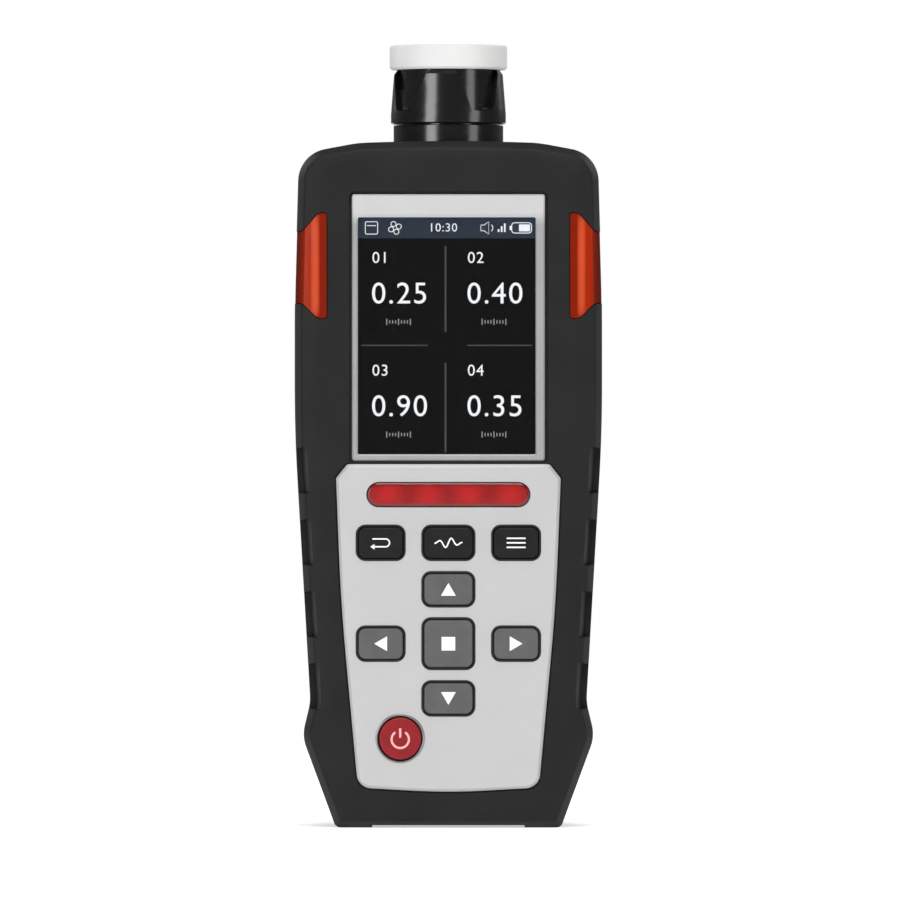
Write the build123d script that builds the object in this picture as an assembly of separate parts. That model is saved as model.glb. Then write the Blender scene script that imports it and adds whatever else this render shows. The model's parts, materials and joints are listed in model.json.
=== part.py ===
from build123d import *
from math import cos, hypot, radians, sin
import os

# Portable four-gas detector: a rubber boot over a two-piece hard case, a colour display and a
# nine-key keypad on the front, alarm lights on the shoulders, and a screwed gas inlet on top.
# Millimetres. +Z is up, the front faces -Y, and the origin is the centre of the footprint.
# Depths ("d") are measured backwards from the boot's front face.

# ---- Body outline, seen from the front -------------------------------------------------------
crown_height = 166.6          # top edge of the boot on either side of the neck
crown_half = 22.0
crown_rise = 0.7              # the top edge rises this much to the middle
shoulder_drop = 2.7           # and falls this much to the shoulders
shoulder_half = 36.4
shoulder_radius = 8.0
chest_half = 37.4             # widest part of the body
chest_height = 128.0
grip_height = 96.0            # where the sides start to narrow downwards
waist_half = 33.6
waist_height = 30.5
hip_half = 35.6
hip_height = 22.2
foot_half = 27.4
foot_radius = 1.5
foot_gap_half = 18.6          # the underside is raised between the two feet
foot_lift = 0.6

# ---- Boot and case ---------------------------------------------------------------------------
boot_depth = 42.0
boot_wall = 2.2
boot_skin = 1.8               # front and back skins
front_crest = (5.4, 0.8)      # the front falls away gently from here: inwards, backwards
front_bevel = (1.7, 4.2)      # inwards, backwards
back_bevel = (3.4, 6.5)
boot_fit = 0.1                # boot to case, all round the sides
case_wall = 2.0
case_edge_radius = 4.0
lip_width = 1.0               # the seal's groove in the parting face
lip_depth = 0.8

# ---- Grip notches ----------------------------------------------------------------------------
notch_count = 4
notch_pitch = 17.5
notch_length = 11.2
notch_top = 86.9              # centre of the highest notch
notch_step = 6.0              # depth of its forward-facing ledge
notch_inset = 1.4             # how far the notch is cut in from the side
notch_slope = 1.7             # the notch's inner wall leans in by this much
notch_draft = 0.3
side_grooves = (16.5, 21.0, 25.5)     # depths of the grooves along each side
groove_width = 1.3
groove_depth = 0.7

# ---- Display ---------------------------------------------------------------------------------
screen_width = 43.2           # 2.8 inch panel, 240 by 320 dots
screen_height = 57.6
screen_shift = -0.4           # the screen sits a little left of the frame's middle
frame_width = 46.9
frame_header = 5.6            # plain band above the screen
frame_footer = 1.5
frame_drop = 12.6             # top of the frame below the crown
frame_recess = 0.1
frame_radius = 0.6
frame_gap = 0.7               # dark gap round the frame
lens_recess = 0.5
lens_thickness = 0.8
lens_overlap = 0.6            # the lens tucks behind the frame's lip
gasket_thickness = 0.4
lcd_glass_margin = 0.4
lcd_glass_gap = 0.15
backlight_margin = 3.1
backlight_depth = 2.4

# ---- Keypad panel ----------------------------------------------------------------------------
panel_gap = 0.9               # below the display frame
panel_height = 79.8
panel_top_half = 24.6
panel_shoulder_half = 27.3
panel_shoulder_drop = 3.4
panel_middle_half = 26.1
panel_middle_drop = 34.0
panel_foot_half = 22.0
panel_foot_rise = 1.2         # the lower edge is a shallow curve
panel_foot_radius = 3.6
panel_proud = 0.5
panel_plate = 1.4
panel_edge = 0.7              # bevel round the panel
panel_skirt = 1.6
panel_reveal = 0.4            # gap between the panel and the boot
mat_margin = 0.4

# ---- Keys: x, height below the panel's top, width, height -----------------------------------
key_column = 16.45
key_width = 10.7
key_height = 7.4
wide_key = 11.7
enter_height = 11.4
menu_row = 19.1
up_row = 30.4
enter_row = 43.6
down_row = 56.9
power_row = 66.65
power_column = -11.7
power_radius = 5.1
key_radius = 1.65
key_proud = 0.9               # above the panel
key_gap = 0.3                 # key to rubber collar
collar = 0.45                 # rubber collar round each key
key_flange = 0.8
key_travel = 0.6
key_clearance = 0.1           # flange to dome's foot at the end of the travel
dome_height = 0.5
dome_radius = 2.6
key_board_thickness = 1.2

# ---- Front light bar -------------------------------------------------------------------------
bar_width = 39.6
bar_height = 5.9
bar_drop = 7.4
bar_proud = 0.3
bar_fit = 0.15
bar_flange = 0.8

# ---- Shoulder alarm lights -------------------------------------------------------------------
light_top_drop = 17.2         # below the crown
light_length = 25.5
light_inner = 29.6
light_depth = 13.0
light_fit = 0.2
light_recess = 0.15
light_window = (2.2, 5.4)     # the case's opening behind the lens is this much smaller: x, z

# ---- Gas inlet -------------------------------------------------------------------------------
neck_radius = 13.4
neck_height = 4.6             # plain neck above the crown
neck_bore = 8.0
thread_radius = 11.0
thread_length = 8.0
thread_fit = 0.25
neck_flange = 2.0
ring_height = 13.6
ring_top_radius = 13.3
ring_foot_radius = 14.05
ring_gap = 0.3
ring_lip = 2.6
finger_cuts = 4
finger_depth = 1.35
finger_turn = 38            # degrees from the front to the first cut
cap_radius = 14.35
cap_height = 5.9
cap_stem_radius = 9.2
cap_stem_fit = 0.3
disc_thickness = 1.0

# ---- Back of the case ------------------------------------------------------------------------
back_window_half = 25.6
back_window_bottom = 6.5
back_window_top_drop = 9.0    # below the crown
back_window_radius = 6.0
back_window_gap = 0.4
pad_recess = 0.4              # the case's back pad sits below the boot's back
pad_wall = 3.0

# ---- Battery -------------------------------------------------------------------------------
cell_diameter = 18.4
cell_length = 65.0
cell_gap = 0.8
cell_bottom = 20.0
tray_wall = 1.0
tray_spring_room = 2.6
door_half = 23.6
door_margin = 8.0             # past the tray, above and below, for the screws
door_thickness = 1.6
door_fit = 0.2
screw_hole_fit = 0.25
seal_width = 1.2
seal_depth = 0.6

# ---- Boards, sensors and pump ----------------------------------------------------------------
board_depth = 8.0
board_thickness = 1.6
board_half = 30.2
board_bottom = 60.0
board_top_drop = 14.0
sensor_radius = 10.1
sensor_height = 16.5
sensor_pitch = 22.0
sensor_depth = 13.2
manifold_thickness = 2.0
tube_radius = 1.6

# ---- Fasteners -------------------------------------------------------------------------------
case_screw_radius = 1.3
case_screw_head = 2.4
boss_radius = 2.7
low_screw = (28.3, 17.4)      # place of the lowest pair of case screws
side_screw_inset = 8.0        # the others stand this far in from the chest's sides
door_screw_radius = 1.5
door_screw_head = 3.1
insert_radius = 2.3

# ---- Tripod thread and belt clip -------------------------------------------------------------
tripod_bore = 2.55            # minor radius of the quarter-inch photographic thread
tripod_insert_radius = 4.6
tripod_depth = 8.0
clip_width = 21.0
clip_sheet = 1.2
clip_gap = 4.8
clip_length = 43.0
clip_screw_pitch = 11.0

# ---- Side port -------------------------------------------------------------------------------
port_height = 107.0
port_length = 9.0
port_width = 3.3
flap_length = 15.0
flap_reach = 10.0             # hinge axis to free edge
flap_gap = 0.35
flap_thickness = 1.6
hinge_depth = 16.9
hinge_radius = 0.95
hinge_pin_radius = 0.5
hinge_fit = 0.06

# ---- Places worked out from the sizes --------------------------------------------------------
clip_back = boot_depth - pad_recess + clip_gap + 2 * clip_sheet
front_most = panel_proud + key_proud
front_y = -(front_most + clip_back) / 2 + front_most
mid_depth = boot_depth / 2
neck_y = front_y + mid_depth
back_depth = boot_depth - boot_skin
pad_depth = boot_depth - pad_recess
case_inset = boot_wall + boot_fit
inner_inset = case_inset + case_wall
case_front_back = boot_skin + case_wall
key_flange_back = case_front_back - dome_height - key_travel - key_clearance
frame_top = crown_height - frame_drop
frame_height = frame_header + screen_height + frame_footer
frame_bottom = frame_top - frame_height
screen_z = frame_bottom + frame_footer + screen_height / 2
panel_top = frame_bottom - panel_gap
panel_bottom = panel_top - panel_height
ring_bottom = crown_height + neck_height + ring_gap
ring_top = crown_height + neck_height + ring_height
cap_top = ring_top + cap_height
thread_top = crown_height + neck_height + thread_length
light_top = crown_height - light_top_drop
light_bottom = light_top - light_length
tray_half = cell_diameter + cell_gap / 2 + cell_gap + tray_wall
tray_bottom = cell_bottom - tray_spring_room - tray_wall
tray_top = cell_bottom + cell_length + tray_wall + 0.6
tray_back = boot_depth - pad_recess - pad_wall
cell_depth = tray_back - cell_diameter / 2 - 2.0
tray_front = cell_depth - cell_diameter / 2 - 0.4 - tray_wall
door_bottom = tray_bottom - door_margin
door_top = tray_top + door_margin
door_screw_low = door_bottom + door_screw_head + 0.5
door_screw_high = door_top - door_screw_head - 0.5
tripod_z = door_top + 8.4
hinge_x = -(chest_half - 1.0)
neck_seat = crown_height - boot_wall - case_wall - 0.8     # flat under the case's roof
clip_top = crown_height - back_window_top_drop - 4.0
clip_bottom = clip_top - clip_length


# ---- Drawing helpers -------------------------------------------------------------------------
def corner_points(right_side, centre_low=None, centre_high=None):
    """Mirrors (half width, height, radius) rows into a closed loop, right side going up."""
    loop = list(right_side)
    if centre_high:
        loop.append(centre_high)
    loop += [(-x, z, r) for x, z, r in reversed(right_side)]
    if centre_low:
        loop.append(centre_low)
    return loop


def inset_face(loop, inset=0.0, least=0.6):
    """A face inside the closed loop of filleted corners, moved inwards in parallel by inset."""
    count = len(loop)
    points = []
    radii = []
    for i, (x, z, r) in enumerate(loop):
        px, pz, _ = loop[i - 1]
        nx, nz, _ = loop[(i + 1) % count]
        ax, az = (x - px) / hypot(x - px, z - pz), (z - pz) / hypot(x - px, z - pz)
        bx, bz = (nx - x) / hypot(nx - x, nz - z), (nz - z) / hypot(nx - x, nz - z)
        turn = ax * bz - az * bx
        half = 1 + ax * bx + az * bz
        points.append((x + inset * (-az - bz) / half, z + inset * (ax + bx) / half))
        radii.append(max(r - inset, least) if turn > 0 else r + inset)
    line = FilletPolyline(*points, radius=radii, close=True)
    return make_face(line)


def at_depth(depth):
    """The plane of the front view at a depth: local x is X, local y is Z, facing the front."""
    return Plane.XZ.offset(-(front_y + depth))


def slab(face, near, far):
    """A front-view face as a solid between two depths."""
    return extrude(at_depth(near) * face, amount=near - far)


def stack(*sections):
    """A ruled solid through front-view faces given as (depth, face)."""
    return loft([at_depth(depth) * face for depth, face in sections], ruled=True)


def rounded(width, height, radius, x=0.0, z=0.0):
    """A rounded rectangle in the front view, by its centre."""
    return Pos(x, z) * RectangleRounded(width, height, radius)


def rod(radius, near, far, x=0.0, z=0.0):
    """A round bar along the depth."""
    return slab(Pos(x, z) * Circle(radius), near, far)


def block(x0, x1, near, far, z0, z1):
    """A plain box by its faces: x, depth, z."""
    return Pos((x0 + x1) / 2, front_y + (near + far) / 2, (z0 + z1) / 2) * Box(
        x1 - x0, far - near, z1 - z0
    )


def turned(points, x=0.0, y=neck_y):
    """A solid of revolution about a vertical axis from (radius, height) points."""
    face = make_face(Polyline(*[(r, 0, z) for r, z in points], close=True))
    return Pos(x, y) * revolve(face, Axis.Z)


def upright(radius, z0, z1, x=0.0, y=neck_y):
    """A vertical cylinder by its ends."""
    return Pos(x, y, (z0 + z1) / 2) * Cylinder(radius, z1 - z0)


def joined(pieces):
    """One shape from overlapping pieces."""
    whole = pieces[0]
    for piece in pieces[1:]:
        whole = whole + piece
    return whole


def edges_at(shape, depth, tolerance=0.02):
    """The edges that lie wholly at one depth."""
    y = front_y + depth
    return [
        e
        for e in shape.edges()
        if abs(e.bounding_box().min.Y - y) < tolerance and abs(e.bounding_box().max.Y - y) < tolerance
    ]


# ---- Outlines --------------------------------------------------------------------------------
def body_face(inset=0.0):
    """The body's outline from the front."""
    right = [
        (foot_half, 0, foot_radius),
        (hip_half, hip_height, 9.0),
        (waist_half, waist_height, 12.0),
        (chest_half, grip_height, 380.0),
        (chest_half, chest_height, 400.0),
        (shoulder_half, crown_height - shoulder_drop, shoulder_radius),
        (crown_half, crown_height, 30.0),
    ]
    top = (0, crown_height + crown_rise, 500.0)
    return inset_face(corner_points(right, centre_high=top), inset, 1.2)


def panel_face(inset=0.0):
    """The keypad panel's outline."""
    right = [
        (panel_foot_half, panel_bottom + panel_foot_rise, panel_foot_radius),
        (panel_middle_half, panel_top - panel_middle_drop, 500.0),
        (panel_shoulder_half, panel_top - panel_shoulder_drop, 1.0),
        (panel_top_half, panel_top, 1.0),
    ]
    return inset_face(corner_points(right, centre_low=(0, panel_bottom, 150.0)), inset, 0.4)


def frame_face(margin=0.0):
    """The display frame's outline."""
    return rounded(
        frame_width + 2 * margin,
        frame_height + 2 * margin,
        frame_radius + margin,
        0,
        (frame_top + frame_bottom) / 2,
    )


def screen_face(margin=0.0, radius=0.3):
    """The screen's outline, or one a margin larger."""
    return rounded(
        screen_width + 2 * margin, screen_height + 2 * margin, radius, screen_shift, screen_z
    )


def light_face(side, margin=0.0):
    """The alarm light's outline from the front: square inside, sloping off outside."""
    inner = light_inner
    outer = chest_half + 4
    top = light_top
    low = light_bottom
    loop = [
        (inner, low, 0.7),
        (inner + 2.2, low, 2.4),
        (inner + 6.0, low + 3.7, 2.4),
        (outer, low + 3.8, 0.5),
        (outer, top - 4.7, 0.5),
        (inner + 6.0, top - 4.6, 2.4),
        (inner + 2.0, top, 2.4),
        (inner, top, 0.7),
    ]
    if side < 0:
        loop = [(-x, z, r) for x, z, r in reversed(loop)]
    return inset_face(loop, -margin, 0.2)


def light_window_face(side, margin=0.0):
    """The case's opening behind an alarm light."""
    x = light_inner + light_window[0]
    height = light_length - 2 * light_window[1]
    wide = chest_half + 4 - x
    centre = side * (x + wide / 2)
    return rounded(wide + 2 * margin, height + 2 * margin, 1.6, centre, light_bottom + light_length / 2)


def back_face(margin=0.0):
    """The opening in the boot's back, or one a margin larger."""
    top = crown_height - back_window_top_drop
    return rounded(
        2 * (back_window_half + margin),
        top - back_window_bottom + 2 * margin,
        back_window_radius + margin,
        0,
        (top + back_window_bottom) / 2,
    )


def door_face(margin=0.0):
    """The battery door's outline."""
    return rounded(
        2 * (door_half + margin), door_top - door_bottom + 2 * margin, 3.0 + margin, 0,
        (door_top + door_bottom) / 2,
    )


def bar_face(margin=0.0):
    """The light bar's stadium outline."""
    height = bar_height + 2 * margin
    return rounded(
        bar_width + 2 * margin, height, height / 2 - 0.01, 0, panel_top - bar_drop
    )


# Each key's name, x, z, width and height. The power key is round.
keys = {
    "key_back": (-key_column, panel_top - menu_row, key_width, key_height),
    "key_measure": (0, panel_top - menu_row, wide_key, key_height),
    "key_menu": (key_column, panel_top - menu_row, key_width, key_height),
    "key_up": (0, panel_top - up_row, wide_key, key_height),
    "key_left": (-key_column, panel_top - enter_row, key_width, key_height),
    "key_enter": (0, panel_top - enter_row, wide_key, enter_height),
    "key_right": (key_column, panel_top - enter_row, key_width, key_height),
    "key_down": (0, panel_top - down_row, wide_key, key_height),
    "key_power": (power_column, panel_top - power_row, 0, 0),
}


def key_face(name, margin=0.0):
    """A key's outline, or one a margin larger."""
    x, z, width, height = keys[name]
    if not width:
        return Pos(x, z) * Circle(power_radius + margin)
    return rounded(width + 2 * margin, height + 2 * margin, key_radius + margin, x, z)


# Screw places in the front view.
case_bosses = [
    (side * x, z)
    for side in (-1, 1)
    for x, z in (
        low_screw,
        (chest_half - side_screw_inset, tray_top + 7.0),
        (chest_half - side_screw_inset, crown_height - 16.4),
    )
]
board_bosses = [
    (side * (board_half - 2.6), z)
    for side in (-1, 1)
    for z in (board_bottom + 4.0, crown_height - 21.5)
]
key_board_bosses = [(side * 20.6, panel_top - drop) for side in (-1, 1) for drop in (30.2, 56.7)]
door_screws = [(0, door_screw_low), (0, door_screw_high)]
clip_screws = [(side * clip_screw_pitch / 2, clip_top - 8.5) for side in (-1, 1)]


# ---- Boot ------------------------------------------------------------------------------------
def boot_shape(recess=0.0):
    """The boot's outer form, with bevelled edges and a front that falls away to the sides."""
    form = stack(
        (recess, body_face(front_crest[0])),
        (recess + front_crest[1], body_face(front_bevel[0] + recess)),
        (front_bevel[1], body_face(recess)),
        (boot_depth - back_bevel[1], body_face(recess)),
        (boot_depth - recess, body_face(back_bevel[0] + recess)),
    )
    form = fillet(edges_at(form, recess + front_crest[1]), 1.2)
    form = fillet(edges_at(form, front_bevel[1]), 2.0)
    form = fillet(edges_at(form, boot_depth - back_bevel[1]), 5.0)
    return fillet(edges_at(form, boot_depth - recess), 1.6)


def case_shape(inset, near, far, radius=case_edge_radius):
    """The hard case's form at an inset from the boot's outline, with rounded edges."""
    form = slab(body_face(inset), near, far)
    return fillet(edges_at(form, near) + edges_at(form, far), radius)


def notch_cutters():
    """Wedges that cut the stepped notches into the side edges, front and back."""
    cutters = []
    for near, towards in ((0, 1), (boot_depth, -1)):
        core = stack(
            *sorted(
                [
                    (near - towards, body_face(notch_inset + notch_slope)),
                    (near + towards * notch_step, body_face(notch_inset)),
                ],
                key=lambda section: section[0],
            )
        )
        for i in range(notch_count):
            z = notch_top - i * notch_pitch
            wide, narrow = notch_length / 2 + notch_draft, notch_length / 2 - notch_draft
            outline = Polyline(
                (front_y + near - towards, z - wide),
                (front_y + near - towards, z + wide),
                (front_y + near + towards * notch_step, z + narrow),
                (front_y + near + towards * notch_step, z - narrow),
                close=True,
            )
            wedge = extrude(Plane.YZ * make_face(outline), amount=chest_half + 2, both=True)
            cutters.append(wedge - core)
    return cutters


def side_groove_cutters():
    """Shallow grooves along both sides, as long as the row of notches."""
    low = notch_top - (notch_count - 1) * notch_pitch - notch_length / 2
    high = notch_top + notch_length / 2
    reach = block(-chest_half - 2, chest_half + 2, 0, boot_depth, low, high)
    outer, inner = body_face(-1.0), body_face(groove_depth)
    cutters = []
    for depth in side_grooves:
        near, far = depth - groove_width / 2, depth + groove_width / 2
        cutters.append((slab(outer, near, far) - slab(inner, near - 1, far + 1)) & reach)
    return cutters


def rubber_boot():
    boot = boot_shape()
    boot -= case_shape(boot_wall, boot_skin, back_depth, case_edge_radius + boot_fit)
    boot -= slab(panel_face(-panel_reveal), -1, boot_skin + 1)
    boot -= slab(frame_face(frame_gap), -1, boot_skin + 1)
    boot -= slab(back_face(), back_depth - 1, boot_depth + 1)
    for side in (-1, 1):
        boot -= slab(light_face(side, light_fit), -1, light_depth + light_fit)
    for cutter in notch_cutters() + side_groove_cutters():
        boot -= cutter
    boot -= upright(neck_radius + 0.2, crown_height - 8, crown_height + 2)
    boot -= block(-foot_gap_half, foot_gap_half, -1, boot_depth + 1, -1, foot_lift)
    boot -= flap_window()
    pin = flap_pin()
    return boot - pin


# ---- Hard case -------------------------------------------------------------------------------
def neck_hole():
    """The hole in the case's top that the neck passes through."""
    return upright(neck_radius + 0.1, crown_height - 12, crown_height)


def seal_groove():
    """The band in the parting face that holds the case seal."""
    outer = body_face(case_inset + (case_wall - lip_width) / 2)
    inner = body_face(case_inset + (case_wall + lip_width) / 2)
    band = slab(outer, mid_depth, mid_depth + lip_depth)
    band -= slab(inner, mid_depth, mid_depth + lip_depth)
    band -= upright(neck_radius + 1.2, crown_height - 12, crown_height)
    return band


def case_shell(near, far):
    """The hollow case between two depths."""
    outer = case_shape(case_inset, boot_skin, back_depth)
    inner_radius = case_edge_radius - case_wall
    hollow = case_shape(inner_inset, case_front_back, back_depth - case_wall, inner_radius)
    keep = slab(Pos(0, crown_height / 2) * Rectangle(120, crown_height + 40), near, far)
    seat = upright(neck_radius + 3.0, neck_seat, neck_seat + 1.6)
    shell = (outer - hollow + seat) & keep
    return shell - neck_hole()


def light_windows():
    """Openings in the case behind the two alarm lights."""
    depth = light_depth - light_window[0]
    return joined([slab(light_window_face(side), 0, depth) for side in (-1, 1)])


def front_case():
    case = case_shell(boot_skin, mid_depth)
    inner = case_front_back
    for x, z in case_bosses:
        case += rod(boss_radius, inner - 0.5, mid_depth, x, z)
    for x, z in board_bosses:
        case += rod(2.4, inner - 0.5, board_depth, x, z)
    case -= slab(screen_face(lcd_glass_margin + lcd_glass_gap), 0, inner + 1)
    case -= slab(bar_face(0.2), 0, inner + 1)
    for name in keys:
        case -= slab(key_face(name, key_flange + 0.3), 0, inner + 1)
    case -= light_windows()
    for x, z in case_bosses:
        case -= rod(case_screw_radius, mid_depth - 12, mid_depth + 1, x, z)
    for x, z in board_bosses:
        case -= rod(0.9, board_depth - 4, board_depth + 1, x, z)
    for x, z in key_board_bosses:
        case -= rod(0.8, inner - 1.5, inner + 1, x, z)
    return case - port_hole()


def rear_case():
    case = case_shell(mid_depth, back_depth)
    case_block = slab(body_face(case_inset + 0.5), 0, boot_depth)
    case += slab(back_face(-back_window_gap), tray_back, pad_depth)
    case -= slab(body_face(inner_inset), mid_depth - 1, tray_back) & slab(
        back_face(-back_window_gap), mid_depth - 1, tray_back
    )
    for x, z in case_bosses:
        case += rod(boss_radius, mid_depth, back_depth - 7.5, x, z)
        case += rod(case_screw_head + 1.5, back_depth - 8.0, tray_back + 0.5, x, z) & case_block
    for x, z in door_screws:
        case += rod(insert_radius + 1.2, pad_depth - door_thickness - 6.0, tray_back + 0.5, x, z)
    case += rod(tripod_insert_radius + 1.5, pad_depth - tripod_depth - 1.5, tray_back + 0.5, 0, tripod_z)
    for x, z in clip_screws:
        case += rod(insert_radius + 1.0, pad_depth - 6.5, tray_back + 0.5, x, z)
    # battery opening, with a rebate for the door and a groove for its seal
    case -= slab(door_face(door_fit), pad_depth - door_thickness, pad_depth + 1)
    case -= slab(tray_opening(0.3), mid_depth - 1, pad_depth + 1)
    case -= door_seal_band()
    for x, z in case_bosses:
        case -= rod(case_screw_radius + 0.2, mid_depth - 1, pad_depth, x, z)
        case -= rod(case_screw_head + 0.3, back_depth - 6.0, boot_depth, x, z)
    for x, z in door_screws:
        case -= rod(insert_radius, pad_depth - door_thickness - 5.0, pad_depth, x, z)
    case -= rod(tripod_insert_radius, pad_depth - tripod_depth, boot_depth, 0, tripod_z)
    for x, z in clip_screws:
        case -= rod(insert_radius, pad_depth - 5.0, boot_depth, x, z)
    case -= seal_groove()
    case -= sound_holes()
    return case - exhaust_vent(boot_depth)


def tray_opening(margin=0.0):
    """The battery bay's mouth in the case's back."""
    return rounded(
        2 * (tray_half + margin),
        tray_top - tray_bottom + 2 * margin,
        1.5,
        0,
        (tray_top + tray_bottom) / 2,
    )


def case_screws():
    """Six screws that hold the two case halves together, from the back."""
    screws = []
    for x, z in case_bosses:
        head = back_depth - 6.0
        screw = rod(case_screw_head, head, head + 1.8, x, z)
        screw -= slab(Pos(x, z) * (Rectangle(3.0, 0.7) + Rectangle(0.7, 3.0)), head + 0.9, head + 2)
        screws.append(screw + rod(case_screw_radius - 0.05, mid_depth - 9, head, x, z))
    return screws


# ---- Display ---------------------------------------------------------------------------------
def display_frame():
    """Silver frame: a plain header band, and a bevelled window for the screen."""
    frame = slab(frame_face(), frame_recess, boot_skin)
    frame = chamfer(edges_at(frame, frame_recess), 0.35)
    frame -= slab(screen_face(0, 0.4), -1, boot_skin + 1)
    rim = lens_recess + frame_recess
    frame -= slab(screen_face(lens_overlap + 0.05, 0.8), rim, boot_skin + 1)
    frame -= stack(
        (frame_recess - 0.01, screen_face(0.36, 0.6)),
        (frame_recess + 0.35, screen_face(0, 0.4)),
    )
    return frame


def display_lens():
    rim = lens_recess + frame_recess
    return slab(screen_face(lens_overlap, 0.75), rim, rim + lens_thickness)


def display_gasket():
    back = lens_recess + frame_recess + lens_thickness
    gasket = slab(screen_face(lens_overlap, 0.75), back, back + gasket_thickness)
    return gasket - slab(screen_face(-0.02, 0.4), back - 1, boot_skin + 1)


def lcd_glass():
    return slab(screen_face(lcd_glass_margin, 0.4), boot_skin + 0.2, case_front_back)


def lcd_backlight():
    outline = rounded(
        screen_width + 2 * backlight_margin,
        screen_height + 3.6,
        0.8,
        screen_shift,
        screen_z,
    )
    tray = slab(outline, case_front_back, case_front_back + backlight_depth)
    tail_z = screen_z - screen_height / 2 + 6
    tail = block(-9, 9, case_front_back + backlight_depth, case_front_back + backlight_depth + 0.2,
                 tail_z, tail_z + 20)
    return tray + tail


# ---- Keypad ----------------------------------------------------------------------------------
def keypad_panel():
    """Silver key panel with a bevelled edge, a skirt behind, and holes for the keys."""
    panel = slab(panel_face(), -panel_proud, boot_skin)
    panel = chamfer(edges_at(panel, -panel_proud), panel_edge)
    panel = fillet(edges_at(panel, -panel_proud), 0.25)
    panel -= slab(panel_face(panel_skirt), panel_plate - panel_proud, boot_skin + 1)
    for name in keys:
        panel -= slab(key_face(name, key_gap + collar), -panel_proud - 1, boot_skin)
    return panel - slab(bar_face(bar_fit), -panel_proud - 1, boot_skin)


def keypad_mat():
    """Rubber mat behind the panel, with a collar round each key."""
    near = panel_plate - panel_proud
    mat = slab(panel_face(panel_skirt + mat_margin), near, boot_skin)
    for name in keys:
        mat += slab(key_face(name, key_gap + collar - 0.03), -panel_proud + 0.1, near + 0.1)
    for name in keys:
        mat -= slab(key_face(name, key_gap), -panel_proud - 1, boot_skin + 1)
    return mat - slab(bar_face(bar_flange + 0.3), near - 1, boot_skin + 1)


def keypad_key(name):
    """One key: a crowned cap, and a flange that keeps it behind the mat."""
    top = -panel_proud - key_proud
    cap = slab(key_face(name), top, boot_skin)
    cap = fillet(edges_at(cap, top), 0.45)
    return cap + slab(key_face(name, key_flange), boot_skin, key_flange_back)


def key_board():
    """Circuit board behind the keys, shaped to the panel."""
    near = case_front_back
    board = slab(panel_face(3.4), near, near + key_board_thickness)
    for x, z in key_board_bosses:
        board -= rod(1.0, near - 1, near + key_board_thickness + 1, x, z)
    return board


def key_domes():
    """Snap domes on the key board, one under each key."""
    domes = []
    for name in keys:
        x, z, _, _ = keys[name]
        domes.append(
            stack(
                (case_front_back - dome_height, Pos(x, z) * Circle(dome_radius * 0.45)),
                (case_front_back, Pos(x, z) * Circle(dome_radius)),
            )
        )
    return domes


def key_board_screws():
    screws = []
    near = case_front_back + key_board_thickness
    for x, z in key_board_bosses:
        screw = rod(1.7, near, near + 1.0, x, z)
        screw -= slab(Pos(x, z) * (Rectangle(2.0, 0.5) + Rectangle(0.5, 2.0)), near + 0.5, near + 2)
        screws.append(screw + rod(0.75, near - key_board_thickness - 1.3, near, x, z))
    return screws


def light_bar():
    """Red bar lens in the panel, with a flange behind it."""
    near = panel_plate - panel_proud
    lens = slab(bar_face(), -panel_proud - bar_proud, near)
    lens = fillet(edges_at(lens, -panel_proud - bar_proud), 0.6)
    return lens + slab(bar_face(bar_flange), near, boot_skin)


def bar_leds():
    """Four lamps on the key board behind the light bar."""
    z = panel_top - bar_drop
    step = bar_width / 4
    return [
        block(x - 1.4, x + 1.4, case_front_back - 0.9, case_front_back, z - 0.9, z + 0.9)
        for x in [step * (i - 1.5) for i in range(4)]
    ]


# ---- Alarm lights ----------------------------------------------------------------------------
def alarm_light(side):
    """Translucent shoulder lens that wraps from the front round to the side."""
    outer = boot_shape(light_recess)
    inner = case_shape(case_inset, boot_skin, back_depth)
    shell = (outer - inner) & slab(light_face(side), -1, light_depth)
    plug = inner - case_shape(
        inner_inset - 0.2, case_front_back - 0.2, back_depth, case_edge_radius - case_wall
    )
    depth = light_depth - light_window[0] - light_fit
    return shell + (plug & slab(light_window_face(side, -light_fit), 0, depth))


def light_board(side):
    """Upright board with lamps behind one alarm light."""
    x0 = side * (board_half - 1.4)
    x1 = side * (board_half - 0.4)
    low, high = min(x0, x1), max(x0, x1)
    near = board_depth + board_thickness
    z0, z1 = light_bottom + 3.0, light_top - 8.0
    board = block(low, high, near, near + 8.0, z0, z1)
    lamps = []
    for i in range(3):
        z = z0 + (z1 - z0) * (i + 0.5) / 3
        face = x1 + side * 0.45
        lamps.append(block(min(x1, face + side * 0.45), max(x1, face + side * 0.45),
                           near + 2.5, near + 5.3, z - 1.4, z + 1.4))
    return joined([board] + lamps)


# ---- Gas inlet -------------------------------------------------------------------------------
def inlet_neck():
    """Fixed neck with a threaded spigot above and a flange inside the case."""
    shoulder = crown_height + neck_height
    inside = neck_seat - 0.8
    root = inside - neck_flange
    points = [
        (neck_bore, root - 4.0),
        (neck_radius - 2.0, root - 4.0),
        (neck_radius - 2.0, root),
        (neck_radius + 2.0, root),
        (neck_radius + 2.0, inside),
        (neck_radius, inside),
        (neck_radius, shoulder - 0.15),
        (neck_radius - 0.15, shoulder),
        (thread_radius - 0.6, shoulder),
        (thread_radius - 0.6, shoulder + 0.8),
        (thread_radius, shoulder + 1.3),
        (thread_radius, thread_top - 0.6),
        (thread_radius - 0.6, thread_top),
        (neck_bore, thread_top),
    ]
    return turned(points)


def neck_seal():
    """Flat seal between the neck's flange and the case's roof."""
    low = neck_seat - 0.8
    inner, outer = neck_radius + 0.1, neck_radius + 2.0
    return turned([(inner, low), (outer, low), (outer, neck_seat), (inner, neck_seat)])


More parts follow.
